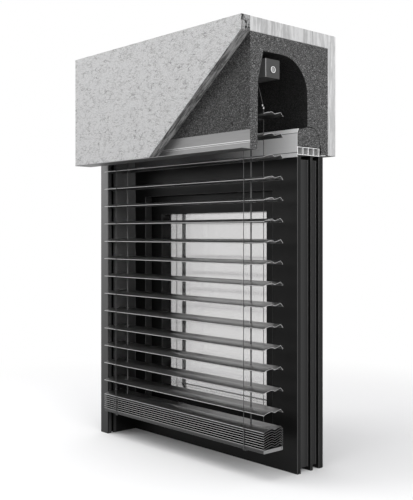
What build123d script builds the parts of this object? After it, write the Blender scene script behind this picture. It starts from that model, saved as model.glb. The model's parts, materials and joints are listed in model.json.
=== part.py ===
from build123d import *
import os
from math import atan2, hypot, sqrt, tan

os.makedirs("parts", exist_ok=True)

# Millimetres. X runs along the blind, Y from the outside to the room, Z up from the floor.
# The origin is the middle of the overall length and depth, at floor level.

# Lintel box over the window
BOX_LENGTH = 822.0
FRONT_PLATE = 35.0
CORE_DEPTH = 333.0
CORE_HEIGHT = 325.0
TOP_SLAB = 42.0
REAR_PLATE = 36.0
REAR_PLATE_HEAD = 104.0
CUT_RUN = 409.0
BOX_LIFT = 5.0

# Cavity in the insulation core
CAVITY_HEIGHT = 276.0
CAVITY_DEPTH = 210.0
CAVITY_FRONT_WALL = 29.0
CAVITY_LEAN = 2.4
SHOULDER_HEIGHT = 84.0
SHOULDER_RUN = 21.6
CAVITY_ARC = 108.0

# Rear insert under the cavity and the core's rear leg
INSERT_HEIGHT = 61.0
INSERT_ROUND = 40.0
INSERT_LEAN = 5.6
INSERT_STEP = 9.0
LEAST_SHELF = 2.0
REAR_LEG = 32.4

# Profiles along the lintel's lower edges
STOP_SHEET = 1.5
STOP_LEG = 53.0
STOP_LIP = 7.0
LIP_SHEET = 1.2
LIP_DROP = 6.4
LIP_STRAIGHT = 69.4
LIP_CURL = 6.0
CONNECTION_HEIGHT = 24.0
CONNECTION_DEPTH = 98.0
CONNECTION_WALL = 2.0
CONNECTION_CHAMBERS = 4
STRIP_SHEET = 1.5
STRIP_DEPTH = 23.4

# Window
WINDOW_HEIGHT = 935.0
WINDOW_SETBACK = 230.0
LEG_FACE = 100.0
LEG_THICKNESS = 28.0
FRAME_BODY = 74.0
GROOVE_DEPTH = 12.0
FRONT_RIB = 15.4
FRONT_GROOVE = 44.1
MIDDLE_RIB = 8.5
REAR_GROOVE = 27.5
REAR_RIB = 19.0

# Sash, measured from the window's outer edge and from the frame's front leg
SASH_GAP = 3.0
SASH_EDGE = 90.0
STILE_SIGHT = 155.0
RAIL_SIGHT = 162.0
SASH_FRONT_LIP = 41.0
SASH_LAP = 24.0
SASH_LAP_GAP = 1.5
SASH_INNER_LIP = 33.0
REBATE = 15.0

# Insulating glass: three panes and two spacer frames
OUTER_PANE = 4.0
MIDDLE_PANE = 6.0
PANE_GAP = 24.0
SPACER_WIDTH = 6.5
GLASS_CLEARANCE = 3.0
GASKET_WIDTH = 5.0
GASKET_INSET = 93.0
SEAL_CLEARANCE = 0.3

# Sash hinges and handle, on the room side
HINGE_AXIS_INSET = 60.0
HINGE_RADIUS = 7.0
HINGE_PIN = 3.0
HINGE_FIT = 0.05
HINGE_KNUCKLE = 26.0
KNUCKLES = 3
HINGE_FROM_CORNER = 90.0
HINGE_LEAF = 3.0
HINGE_LEAF_REACH = 32.0
HANDLE_INSET = 103.0
ROSETTE_WIDTH = 32.0
ROSETTE_HEIGHT = 76.0
ROSETTE_THICKNESS = 8.0
HANDLE_NECK = 8.0
HANDLE_REACH = 32.0
LEVER_LENGTH = 130.0
LEVER_WIDTH = 20.0
LEVER_THICKNESS = 12.0
HANDLE_FIT = 0.05

# Slats
SLAT_WIDTH = 80.0
SLAT_SHEET = 1.0
EDGE_ROLL = 1.2
RIDGE_HEIGHT = 7.8
RIDGE_OFFSET = 5.0
ARCH_SAG = 5.4
VALLEY_HEIGHT = 2.8
VALLEY_OFFSET = 5.5
CREST_HEIGHT = 9.5
CREST_OFFSET = 30.0
SLAT_PITCH = 60.6
SLAT_END_GAP = 6.6
SLOT_LENGTH = 14.0
SLOT_WIDTH = 16.0
STACK_COUNT = 8
STACK_PITCH = 6.85
CLOSING_ROOM = 38.0
REST_CLEARANCE = 0.3

# Place of the blind: its axis behind the outside face, its drop under the head rail
BLIND_AXIS = 128.0
FIRST_SLAT_DROP = 104.9
FLOOR_CLEARANCE = 84.5
BOTTOM_RAIL_HEIGHT = 10.0
BOTTOM_RAIL_WIDTH = 78.0
BOTTOM_RAIL_WALL = 1.6
BOTTOM_RAIL_ROUND = 2.0

# Head rail and what it holds
HEAD_RAIL_WIDTH = 57.0
HEAD_RAIL_HEIGHT = 53.0
HEAD_RAIL_WALL = 1.5
HEAD_RAIL_LIP = 7.5
HEAD_RAIL_DROP = 17.0
HEAD_RAIL_END = 32.0
BEARING_RING_LENGTH = 3.0
BEARING_RING = 9.5
SHAFT_FLATS = 12.0
SHAFT_FIT = 0.4
SHAFT_INSET = 1.0
SHAFT_RISE = 23.5
SPOOL_RADIUS = 14.0
SPOOL_LENGTH = 24.0
BLOCK_WALL = 4.0
BLOCK_PLAY = 1.0
BLOCK_HEIGHT = 38.5
MOTOR_LENGTH = 280.0
MOTOR_HEIGHT = 44.0
MOTOR_ROUND = 8.0
BRACKET_LENGTH = 40.0
BRACKET_SHEET = 3.0
BRACKET_LEG = 14.0
BRACKET_CORE = 21.0
BRACKET_OFFSET = 60.0

# Ladders and lift tapes
RIGHT_LADDER_INSET = 78.5
LEFT_LADDER_INSET = 71.4
TAPE_OFFSET = 11.0
CORD_RADIUS = 1.0
CORD_KNEE = 39.0
CORD_TOP_SPREAD = 12.0
KNEE_SHARE = 0.45
TAPE_WIDTH = 8.0
TAPE_SHEET = 0.6
CLIP_LENGTH = 12.0
CLIP_DEPTH = 14.0
CLIP_HEIGHT = 4.0

# Side reveal panel, guide rail and pins
PANEL_THICKNESS = 42.0
PANEL_BAND = 4.5
RAIL_ABOVE_FIRST_SLAT = 37.0
GUIDE_RAIL_WIDTH = 31.5
GUIDE_RAIL_DEPTH = 22.0
GUIDE_RAIL_WALL = 1.6
GUIDE_SLOT = 10.4
LINER_WALL = 2.0
LINER_CLEARANCE = 0.2
LINER_SLOT = 8.0
PIN_RADIUS = 2.3
PIN_REACH = 20.0
PIN_NOSE = 12.0
PIN_COLLAR = 6.0
PIN_COLLAR_LENGTH = 1.6
STACK_PIN_COLLAR = 3.2

# Places worked out from the sizes above
box_left = -BOX_LENGTH / 2
box_right = BOX_LENGTH / 2
frame_depth = FRONT_RIB + FRONT_GROOVE + MIDDLE_RIB + REAR_GROOVE + REAR_RIB
lap_start = frame_depth + SASH_LAP_GAP
sash_back = lap_start + SASH_INNER_LIP
handle_back = WINDOW_SETBACK + sash_back + ROSETTE_THICKNESS + HANDLE_REACH
wall_depth = FRONT_PLATE + CORE_DEPTH + REAR_PLATE
front_y = -max(wall_depth, handle_back) / 2

core_front = front_y + FRONT_PLATE
core_rear = core_front + CORE_DEPTH
core_bottom = WINDOW_HEIGHT + BOX_LIFT
core_top = core_bottom + CORE_HEIGHT
slab_top = core_top + TOP_SLAB
cavity_front = core_front + CAVITY_FRONT_WALL
cavity_rear = cavity_front + CAVITY_DEPTH
ceiling_z = core_bottom + CAVITY_HEIGHT

window_front = front_y + WINDOW_SETBACK
insert_bottom = WINDOW_HEIGHT + CONNECTION_HEIGHT
insert_top = insert_bottom + INSERT_HEIGHT
lip_bottom = WINDOW_HEIGHT - LIP_DROP
lip_bend = lip_bottom + LIP_STRAIGHT
lip_end = (window_front + LIP_CURL, insert_top - INSERT_STEP)
leg_front = core_rear - REAR_LEG
insert_wall = leg_front - INSERT_LEAN - cavity_rear
insert_round = min(INSERT_ROUND, insert_wall - LEAST_SHELF)

axis_y = front_y + BLIND_AXIS
rail_top = ceiling_z - HEAD_RAIL_DROP
rail_bottom = rail_top - HEAD_RAIL_HEIGHT
head_rail_front = axis_y - HEAD_RAIL_WIDTH / 2
first_slat_z = rail_bottom - FIRST_SLAT_DROP
bottom_rail_z = FLOOR_CLEARANCE + BOTTOM_RAIL_HEIGHT
stack_bottom = bottom_rail_z + REST_CLEARANCE + EDGE_ROLL
stack_top = stack_bottom + (STACK_COUNT - 1) * STACK_PITCH
free_count = int((first_slat_z - stack_top - CLOSING_ROOM) // SLAT_PITCH) + 1
slat_z = [first_slat_z - i * SLAT_PITCH for i in range(free_count)]
stack_z = [stack_bottom + i * STACK_PITCH for i in range(STACK_COUNT)]

panel_right = box_left + PANEL_THICKNESS
slat_left = panel_right + SLAT_END_GAP
slat_length = box_right - slat_left
ladder_x = [slat_left + LEFT_LADDER_INSET, box_right - RIGHT_LADDER_INSET]
tape_x = [ladder_x[0] + TAPE_OFFSET, ladder_x[1] - TAPE_OFFSET]


def across(x, y, z):
    """Plane square to X: its first axis runs to the room, its second up."""
    return Plane(origin=(x, y, z), x_dir=(0, 1, 0), z_dir=(1, 0, 0))


def upright(y):
    """Plane square to Y, seen from outside: its first axis is X, its second up."""
    return Plane(origin=(0, y, 0), x_dir=(1, 0, 0), z_dir=(0, -1, 0))


def window_sheet(y, insets):
    """Rectangle in the window's plane: insets from the window's sides, then from its top and bottom."""
    with BuildSketch(upright(y)) as sheet:
        with Locations((0, WINDOW_HEIGHT / 2)):
            Rectangle(BOX_LENGTH - 2 * insets[0], WINDOW_HEIGHT - 2 * insets[1])
    return sheet.sketch


def window_ring(y, outer, inner):
    """Ring between two such rectangles."""
    with BuildSketch(upright(y)) as ring:
        add(window_sheet(y, outer))
        add(window_sheet(y, inner), mode=Mode.SUBTRACT)
    return ring.sketch


# Front render plate, cut away on a slope, with a pocket for the plaster stop's leg
with BuildPart() as front_plate:
    with BuildSketch(upright(front_y)):
        with BuildLine():
            Polyline(
                (box_left, core_bottom),
                (box_right - CUT_RUN, core_bottom),
                (box_right, core_top),
                (box_right, slab_top),
                (box_left, slab_top),
                close=True,
            )
        make_face()
    extrude(amount=-FRONT_PLATE)
    with BuildSketch(across(box_left, core_front, core_bottom)):
        Rectangle(STOP_SHEET, STOP_LEG, align=(Align.MAX, Align.MIN))
    extrude(amount=BOX_LENGTH, mode=Mode.SUBTRACT)
front_plate.part.label = "front_render_plate"
export_step(front_plate.part, "parts/front_render_plate.step")

# Top render slab
with BuildPart() as top_slab:
    with BuildSketch(across(box_left, core_front, core_top)):
        Rectangle(CORE_DEPTH + REAR_PLATE - REAR_PLATE_HEAD, TOP_SLAB, align=(Align.MIN, Align.MIN))
    extrude(amount=BOX_LENGTH)
top_slab.part.label = "top_render_slab"
export_step(top_slab.part, "parts/top_render_slab.step")

# Rear render plate, with its head beside the top slab
with BuildPart() as rear_plate:
    with BuildSketch(across(box_left, core_rear, core_bottom)):
        Rectangle(REAR_PLATE, CORE_HEIGHT, align=(Align.MIN, Align.MIN))
        with Locations((REAR_PLATE, CORE_HEIGHT)):
            Rectangle(REAR_PLATE_HEAD, TOP_SLAB, align=(Align.MAX, Align.MIN))
    extrude(amount=BOX_LENGTH)
rear_plate.part.label = "rear_render_plate"
export_step(rear_plate.part, "parts/rear_render_plate.step")

# Insulation core with the blind's cavity, open below and at both ends
shoulder_z = ceiling_z - SHOULDER_HEIGHT
arc_start = (cavity_rear - CAVITY_ARC, ceiling_z)
arc_end = (cavity_rear, ceiling_z - CAVITY_ARC)
round_centre = (leg_front - INSERT_LEAN - insert_round, insert_top - insert_round)
with BuildPart() as core:
    with BuildSketch(across(box_left, 0, 0)):
        with BuildLine():
            Polyline(
                arc_start,
                (cavity_front + CAVITY_LEAN + SHOULDER_RUN, ceiling_z),
                (cavity_front + CAVITY_LEAN, shoulder_z),
                (cavity_front, core_bottom + STOP_LIP),
                (cavity_front, core_bottom),
                (core_front, core_bottom),
                (core_front, core_top),
                (core_rear, core_top),
                (core_rear, core_bottom),
                (leg_front, core_bottom),
                (leg_front, insert_bottom),
                (leg_front - INSERT_LEAN, insert_top - insert_round),
            )
            CenterArc(round_centre, insert_round, 0, 90)
            Polyline(
                (round_centre[0], insert_top),
                (cavity_rear, insert_top),
                arc_end,
            )
            CenterArc((arc_start[0], arc_end[1]), CAVITY_ARC, 0, 90)
        make_face()
    extrude(amount=BOX_LENGTH)
core.part.label = "insulation_core"
export_step(core.part, "parts/insulation_core.step")

# Insert that closes the core's rear corner over the window
with BuildPart() as insert:
    with BuildSketch(across(box_left, 0, 0)):
        with BuildLine():
            Polyline(
                (round_centre[0], insert_top),
                (cavity_rear, insert_top),
                lip_end,
                (window_front, lip_bend),
                (window_front, insert_bottom),
                (leg_front, insert_bottom),
                (leg_front - INSERT_LEAN, insert_top - insert_round),
            )
            CenterArc(round_centre, insert_round, 0, 90)
        make_face()
    extrude(amount=BOX_LENGTH)
insert.part.label = "rear_insulation_insert"
export_step(insert.part, "parts/rear_insulation_insert.step")

# Plaster stop: a flange under the front plate and the core, a leg between them, and a lip
with BuildPart() as plaster_stop:
    with BuildSketch(across(box_left, 0, core_bottom)):
        with BuildLine():
            Polyline(
                (front_y, -STOP_SHEET),
                (cavity_front + STOP_SHEET, -STOP_SHEET),
                (cavity_front + STOP_SHEET, STOP_LIP),
                (cavity_front, STOP_LIP),
                (cavity_front, 0),
                (core_front, 0),
                (core_front, STOP_LEG),
                (core_front - STOP_SHEET, STOP_LEG),
                (core_front - STOP_SHEET, 0),
                (front_y, 0),
                close=True,
            )
        make_face()
    extrude(amount=BOX_LENGTH)
plaster_stop.part.label = "plaster_stop_profile"
export_step(plaster_stop.part, "parts/plaster_stop_profile.step")

# Lip profile on the insert's face, from the reveal panel to the cut end
with BuildPart() as lip_profile:
    with BuildSketch(across(panel_right, 0, 0)):
        with BuildLine():
            Polyline(
                (window_front, lip_bottom),
                (window_front, lip_bend),
                lip_end,
                (lip_end[0] - LIP_SHEET, lip_end[1] + LIP_SHEET),
                (window_front - LIP_SHEET, lip_bend),
                (window_front - LIP_SHEET, lip_bottom),
                close=True,
            )
        make_face()
    extrude(amount=box_right - panel_right)
lip_profile.part.label = "rear_lip_profile"
export_step(lip_profile.part, "parts/rear_lip_profile.step")

# Hollow profile that joins the box to the window's top
chamber_pitch = (CONNECTION_DEPTH - CONNECTION_WALL) / CONNECTION_CHAMBERS
with BuildPart() as connection:
    with BuildSketch(across(box_left, window_front, WINDOW_HEIGHT)):
        Rectangle(CONNECTION_DEPTH, CONNECTION_HEIGHT, align=(Align.MIN, Align.MIN))
        for i in range(CONNECTION_CHAMBERS):
            with Locations((CONNECTION_WALL + i * chamber_pitch, CONNECTION_WALL)):
                Rectangle(
                    chamber_pitch - CONNECTION_WALL,
                    CONNECTION_HEIGHT - 2 * CONNECTION_WALL,
                    align=(Align.MIN, Align.MIN),
                    mode=Mode.SUBTRACT,
                )
    extrude(amount=BOX_LENGTH)
connection.part.label = "window_connection_profile"
export_step(connection.part, "parts/window_connection_profile.step")

# Strip that closes the core's rear leg from below
with BuildPart() as closing_strip:
    with BuildSketch(across(box_left, leg_front, core_bottom)):
        Rectangle(STRIP_DEPTH, STRIP_SHEET, align=(Align.MIN, Align.MAX))
    extrude(amount=BOX_LENGTH)
closing_strip.part.label = "rear_closing_strip"
export_step(closing_strip.part, "parts/rear_closing_strip.step")

# Reveal panel with the groove that holds the guide rail
rail_side_y = axis_y - GUIDE_RAIL_WIDTH / 2
panel_front = rail_side_y - PANEL_BAND
panel_top = first_slat_z + RAIL_ABOVE_FIRST_SLAT
with BuildPart() as panel:
    with BuildSketch(Plane.XY):
        with Locations((panel_right, panel_front)):
            Rectangle(PANEL_THICKNESS, window_front - panel_front, align=(Align.MAX, Align.MIN))
        with Locations((panel_right, axis_y)):
            Rectangle(
                GUIDE_RAIL_DEPTH,
                GUIDE_RAIL_WIDTH,
                align=(Align.MAX, Align.CENTER),
                mode=Mode.SUBTRACT,
            )
    extrude(amount=panel_top)
panel.part.label = "side_reveal_panel"
export_step(panel.part, "parts/side_reveal_panel.step")

# Guide rail: a box section with a slot towards the slats
rail_inner_depth = GUIDE_RAIL_DEPTH - 2 * GUIDE_RAIL_WALL
rail_inner_width = GUIDE_RAIL_WIDTH - 2 * GUIDE_RAIL_WALL
rail_middle_x = panel_right - GUIDE_RAIL_DEPTH / 2
with BuildPart() as guide_rail:
    with BuildSketch(Plane.XY):
        with Locations((rail_middle_x, axis_y)):
            Rectangle(GUIDE_RAIL_DEPTH, GUIDE_RAIL_WIDTH)
            Rectangle(rail_inner_depth, rail_inner_width, mode=Mode.SUBTRACT)
        with Locations((panel_right, axis_y)):
            Rectangle(
                2 * GUIDE_RAIL_WALL,
                GUIDE_SLOT,
                mode=Mode.SUBTRACT,
            )
    extrude(amount=panel_top)
guide_rail.part.label = "guide_rail"
export_step(guide_rail.part, "parts/guide_rail.step")

# Plastic liner in the guide rail, in which the pins run
liner_depth = rail_inner_depth - 2 * LINER_CLEARANCE
liner_width = rail_inner_width - 2 * LINER_CLEARANCE
liner_face_x = rail_middle_x + liner_depth / 2
with BuildPart() as liner:
    with BuildSketch(Plane.XY):
        with Locations((rail_middle_x, axis_y)):
            Rectangle(liner_depth, liner_width)
            Rectangle(liner_depth - 2 * LINER_WALL, liner_width - 2 * LINER_WALL, mode=Mode.SUBTRACT)
        with Locations((liner_face_x, axis_y)):
            Rectangle(
                2 * LINER_WALL,
                LINER_SLOT,
                mode=Mode.SUBTRACT,
            )
    extrude(amount=panel_top)
liner.part.label = "guide_rail_liner"
export_step(liner.part, "parts/guide_rail_liner.step")

# Head rail: a channel open below, with turned-in lips
cap_length = BEARING_RING_LENGTH + HEAD_RAIL_WALL
head_rail_left = box_left + HEAD_RAIL_END
head_rail_right = box_right - cap_length
opening_width = HEAD_RAIL_WIDTH - 2 * (HEAD_RAIL_WALL + HEAD_RAIL_LIP)
with BuildPart() as head_rail:
    with BuildSketch(across(head_rail_left, head_rail_front, rail_bottom)):
        Rectangle(HEAD_RAIL_WIDTH, HEAD_RAIL_HEIGHT, align=(Align.MIN, Align.MIN))
        with Locations((HEAD_RAIL_WALL, HEAD_RAIL_WALL)):
            Rectangle(
                HEAD_RAIL_WIDTH - 2 * HEAD_RAIL_WALL,
                HEAD_RAIL_HEIGHT - 2 * HEAD_RAIL_WALL,
                align=(Align.MIN, Align.MIN),
                mode=Mode.SUBTRACT,
            )
        with Locations((HEAD_RAIL_WIDTH / 2, 0)):
            Rectangle(opening_width, 2 * HEAD_RAIL_WALL, mode=Mode.SUBTRACT)
    extrude(amount=head_rail_right - head_rail_left)
head_rail.part.label = "head_rail"
export_step(head_rail.part, "parts/head_rail.step")

# End caps of the head rail, each a plate with a bearing ring for the shaft
shaft_y = head_rail_front + HEAD_RAIL_WIDTH / 2
shaft_z = rail_bottom + SHAFT_RISE
shaft_corner = SHAFT_FLATS / sqrt(3)
shaft_bore = shaft_corner + SHAFT_FIT
with BuildPart() as end_caps:
    for plate_x, ring_x in (
        (head_rail_right, head_rail_right + HEAD_RAIL_WALL),
        (head_rail_left - HEAD_RAIL_WALL, head_rail_left - cap_length),
    ):
        with BuildSketch(across(plate_x, head_rail_front, rail_bottom)):
            Rectangle(HEAD_RAIL_WIDTH, HEAD_RAIL_HEIGHT, align=(Align.MIN, Align.MIN))
        extrude(amount=HEAD_RAIL_WALL)
        with BuildSketch(across(ring_x, shaft_y, shaft_z)):
            Circle(BEARING_RING)
        extrude(amount=BEARING_RING_LENGTH)
    with BuildSketch(across(box_left, shaft_y, shaft_z)):
        Circle(shaft_bore)
    extrude(amount=BOX_LENGTH, mode=Mode.SUBTRACT)
end_caps.part.label = "head_rail_end_caps"
export_step(end_caps.part, "parts/head_rail_end_caps.step")

# Brackets that hang the head rail from the cavity's ceiling
bracket_x = [tape_x[0] + BRACKET_OFFSET, tape_x[1] - BRACKET_OFFSET]
bracket_width = HEAD_RAIL_WIDTH + 2 * BRACKET_SHEET
with BuildPart() as brackets:
    for x in bracket_x:
        with BuildSketch(across(x - BRACKET_LENGTH / 2, shaft_y, ceiling_z)):
            Rectangle(bracket_width, BRACKET_SHEET, align=(Align.CENTER, Align.MAX))
            Rectangle(BRACKET_CORE, HEAD_RAIL_DROP, align=(Align.CENTER, Align.MAX))
            with Locations((-bracket_width / 2, 0), (HEAD_RAIL_WIDTH / 2, 0)):
                Rectangle(BRACKET_SHEET, HEAD_RAIL_DROP + BRACKET_LEG, align=(Align.MIN, Align.MAX))
        extrude(amount=BRACKET_LENGTH)
brackets.part.label = "head_rail_brackets"
export_step(brackets.part, "parts/head_rail_brackets.step")

# Tilt shaft, a hexagonal bar, with the tape spools on it
with BuildPart() as tilt_shaft:
    with BuildSketch(across(head_rail_left - cap_length + SHAFT_INSET, shaft_y, shaft_z)):
        RegularPolygon(SHAFT_FLATS / 2, 6, major_radius=False)
    extrude(amount=head_rail_right - head_rail_left + 2 * cap_length - 2 * SHAFT_INSET)
with BuildPart() as spools:
    for x in tape_x:
        with BuildSketch(across(x - SPOOL_LENGTH / 2, shaft_y, shaft_z)):
            Circle(SPOOL_RADIUS)
            RegularPolygon(SHAFT_FLATS / 2, 6, major_radius=False, mode=Mode.SUBTRACT)
        extrude(amount=SPOOL_LENGTH)
shaft_assembly = Compound(children=[*tilt_shaft.solids(), *spools.solids()])
shaft_assembly.label = "tilt_shaft"
export_step(shaft_assembly, "parts/tilt_shaft.step")

# Bearing blocks round the spools, open above and below for tape and cords
block_length = SPOOL_LENGTH + 2 * (BLOCK_PLAY + BLOCK_WALL)
block_width = HEAD_RAIL_WIDTH - 2 * HEAD_RAIL_WALL
block_base = rail_bottom + HEAD_RAIL_WALL
with BuildPart() as blocks:
    with BuildSketch(Plane.XY.offset(block_base)):
        with Locations(*[(x, shaft_y) for x in tape_x]):
            Rectangle(block_length, block_width)
            Rectangle(block_length - 2 * BLOCK_WALL, block_width - 2 * BLOCK_WALL, mode=Mode.SUBTRACT)
    extrude(amount=BLOCK_HEIGHT)
    with BuildSketch(across(box_left, shaft_y, shaft_z)):
        Circle(shaft_bore)
    extrude(amount=BOX_LENGTH, mode=Mode.SUBTRACT)
blocks.part.label = "bearing_blocks"
export_step(blocks.part, "parts/bearing_blocks.step")

# Drive motor, which the shaft runs through
motor_x = (tape_x[0] + tape_x[1]) / 2
with BuildPart() as motor:
    with BuildSketch(across(motor_x - MOTOR_LENGTH / 2, shaft_y, block_base + MOTOR_HEIGHT / 2)):
        RectangleRounded(block_width, MOTOR_HEIGHT, MOTOR_ROUND)
    extrude(amount=MOTOR_LENGTH)
    with BuildSketch(across(box_left, shaft_y, shaft_z)):
        Circle(shaft_bore)
    extrude(amount=BOX_LENGTH, mode=Mode.SUBTRACT)
motor.part.label = "drive_motor"
export_step(motor.part, "parts/drive_motor.step")

# Ladder cords: a front and a rear cord at each ladder, spread by the slats
cord_side = SLAT_WIDTH / 2 + REST_CLEARANCE + CORD_RADIUS
cord_top = shaft_z - CORD_TOP_SPREAD
knee_z = first_slat_z + CORD_KNEE
knee_turn = atan2(cord_side - CORD_TOP_SPREAD, cord_top - knee_z)
upper_run = hypot(cord_side - CORD_TOP_SPREAD, cord_top - knee_z)
knee_radius = KNEE_SHARE * upper_run / tan(knee_turn / 2)
print(f"ladder cord knee radius {knee_radius:.0f} mm")
with BuildPart() as ladder_cords:
    for x in ladder_x:
        for side in (-1, 1):
            with BuildLine() as route:
                FilletPolyline(
                    (x, axis_y + side * cord_side, FLOOR_CLEARANCE),
                    (x, axis_y + side * cord_side, knee_z),
                    (x, axis_y + side * CORD_TOP_SPREAD, cord_top),
                    radius=knee_radius,
                )
            with BuildSketch(Plane((x, axis_y + side * cord_side, FLOOR_CLEARANCE))):
                Circle(CORD_RADIUS)
            sweep(path=route.line)
ladder_cords.part.label = "ladder_cords"
export_step(ladder_cords.part, "parts/ladder_cords.step")

# Lift tapes, from the spools through the slats to the bottom rail
tape_top = shaft_z - SPOOL_RADIUS - REST_CLEARANCE
with BuildPart() as lift_tapes:
    with BuildSketch(Plane.XY.offset(bottom_rail_z)):
        with Locations(*[(x, axis_y) for x in tape_x]):
            Rectangle(TAPE_WIDTH, TAPE_SHEET)
    extrude(amount=tape_top - bottom_rail_z)
lift_tapes.part.label = "lift_tapes"
export_step(lift_tapes.part, "parts/lift_tapes.step")


def slat_section(z):
    """Cross-section of a slat at its left end: arched front, stepped middle, rolled edges."""
    edge = SLAT_WIDTH / 2 - EDGE_ROLL
    with BuildSketch(across(slat_left, axis_y, z)) as section:
        with BuildLine():
            ThreePointArc(
                (-edge, 0),
                (-(edge + RIDGE_OFFSET) / 2, ARCH_SAG),
                (-RIDGE_OFFSET, RIDGE_HEIGHT),
            )
            Polyline(
                (-RIDGE_OFFSET, RIDGE_HEIGHT),
                (VALLEY_OFFSET, VALLEY_HEIGHT),
                (CREST_OFFSET, CREST_HEIGHT),
                (edge, 0),
            )
        trace(line_width=SLAT_SHEET)
        with Locations((-edge, 0), (edge, 0)):
            Circle(EDGE_ROLL)
    return section.sketch


def tape_slots(z):
    """Slots for the two lift tapes."""
    with BuildSketch(Plane.XY.offset(z - RIDGE_HEIGHT)) as slots:
        with Locations(*[(x, axis_y) for x in tape_x]):
            Rectangle(SLOT_LENGTH, SLOT_WIDTH)
    return slots.sketch


# Free slats
for i in range(free_count):
    with BuildPart() as slat:
        extrude(slat_section(slat_z[i]), amount=slat_length)
        extrude(tape_slots(slat_z[i]), amount=3 * RIDGE_HEIGHT, mode=Mode.SUBTRACT)
    slat.part.label = f"slat_{i + 1:02d}"
    export_step(slat.part, f"parts/slat_{i + 1:02d}.step")

# Guide pins of the free slats but the lowest, whose pin is with the bottom rail's
pin_start = slat_left - REST_CLEARANCE - PIN_REACH
pin_length = PIN_REACH + REST_CLEARANCE + PIN_NOSE
for i in range(free_count - 1):
    with BuildPart() as pin:
        with BuildSketch(across(pin_start, axis_y, slat_z[i])):
            Circle(PIN_RADIUS)
        extrude(amount=pin_length)
        with BuildSketch(across(slat_left - REST_CLEARANCE, axis_y, slat_z[i])):
            Circle(PIN_COLLAR)
        extrude(amount=-PIN_COLLAR_LENGTH)
    pin.part.label = f"guide_pin_{i + 1:02d}"
    export_step(pin.part, f"parts/guide_pin_{i + 1:02d}.step")

# Slats collected on the bottom rail
with BuildPart() as stacked_slats:
    for z in stack_z:
        extrude(slat_section(z), amount=slat_length)
    with BuildSketch(Plane.XY.offset(bottom_rail_z)):
        with Locations(*[(x, axis_y) for x in tape_x]):
            Rectangle(SLOT_LENGTH, SLOT_WIDTH)
    extrude(amount=stack_top - bottom_rail_z + 2 * RIDGE_HEIGHT, mode=Mode.SUBTRACT)
stacked_slats.part.label = "stacked_slats"
export_step(stacked_slats.part, "parts/stacked_slats.step")

# Pins that travel with the bottom rail: its own, the collected slats' and the lowest free slat's
rail_pin_z = FLOOR_CLEARANCE + BOTTOM_RAIL_HEIGHT / 2
with BuildPart() as stack_pins:
    with BuildSketch(across(pin_start, axis_y, 0)):
        with Locations(*[(0, z) for z in [rail_pin_z, *stack_z]]):
            Circle(PIN_RADIUS)
    extrude(amount=slat_left - pin_start)
    with BuildSketch(across(slat_left, axis_y, 0)):
        with Locations(*[(0, z) for z in [rail_pin_z, *stack_z]]):
            Circle(STACK_PIN_COLLAR)
    extrude(amount=-PIN_COLLAR_LENGTH)
    with BuildSketch(across(pin_start, axis_y, slat_z[-1])):
        Circle(PIN_RADIUS)
    extrude(amount=pin_length)
    with BuildSketch(across(slat_left - REST_CLEARANCE, axis_y, slat_z[-1])):
        Circle(PIN_COLLAR)
    extrude(amount=-PIN_COLLAR_LENGTH)
stack_pins.part.label = "stack_guide_pins"
export_step(stack_pins.part, "parts/stack_guide_pins.step")

# Bottom rail, a hollow bar, with the clips that hold tapes and cords under it
with BuildPart() as bottom_rail:
    with BuildSketch(across(slat_left, axis_y, rail_pin_z)):
        RectangleRounded(BOTTOM_RAIL_WIDTH, BOTTOM_RAIL_HEIGHT, BOTTOM_RAIL_ROUND)
        Rectangle(
            BOTTOM_RAIL_WIDTH - 2 * BOTTOM_RAIL_ROUND - 2 * BOTTOM_RAIL_WALL,
            BOTTOM_RAIL_HEIGHT - 2 * BOTTOM_RAIL_WALL,
            mode=Mode.SUBTRACT,
        )
    extrude(amount=slat_length)
with BuildPart() as rail_clips:
    with BuildSketch(Plane.XY.offset(FLOOR_CLEARANCE)):
        for x in ladder_x:
            with Locations(
                (x, axis_y - BOTTOM_RAIL_WIDTH / 2),
                (x, axis_y + BOTTOM_RAIL_WIDTH / 2 - CLIP_DEPTH),
            ):
                Rectangle(CLIP_LENGTH, CLIP_DEPTH, align=(Align.CENTER, Align.MIN))
    extrude(amount=-CLIP_HEIGHT)
rail_assembly = Compound(children=[*bottom_rail.solids(), *rail_clips.solids()])
rail_assembly.label = "bottom_rail"
export_step(rail_assembly, "parts/bottom_rail.step")

# Window frame: a thick front leg and a body, with ribs and grooves round the outside
leg_groove = FRONT_RIB + FRONT_GROOVE
frame_layers = (
    # depth where the layer starts and ends, inset of its outer and inner edge
    (0, FRONT_RIB, 0, LEG_FACE),
    (FRONT_RIB, LEG_THICKNESS, GROOVE_DEPTH, LEG_FACE),
    (LEG_THICKNESS, leg_groove, GROOVE_DEPTH, FRAME_BODY),
    (leg_groove, leg_groove + MIDDLE_RIB, 0, FRAME_BODY),
    (leg_groove + MIDDLE_RIB, frame_depth - REAR_RIB, GROOVE_DEPTH, FRAME_BODY),
    (frame_depth - REAR_RIB, frame_depth, 0, FRAME_BODY),
)
with BuildPart() as window_frame:
    for start, end, outer, inner in frame_layers:
        layer = window_ring(window_front + start, (outer, outer), (inner, inner))
        extrude(layer, amount=start - end)
window_frame.part.label = "window_frame"
export_step(window_frame.part, "parts/window_frame.step")

# Gasket on the frame's front leg, which the sash closes against
gasket_outer = (GASKET_INSET, GASKET_INSET)
gasket_inner = (GASKET_INSET + GASKET_WIDTH, GASKET_INSET + GASKET_WIDTH)
with BuildPart() as gasket:
    extrude(
        window_ring(window_front + LEG_THICKNESS, gasket_outer, gasket_inner),
        amount=SEAL_CLEARANCE - SASH_GAP,
    )
gasket.part.label = "frame_gasket"
export_step(gasket.part, "parts/frame_gasket.step")

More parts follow.
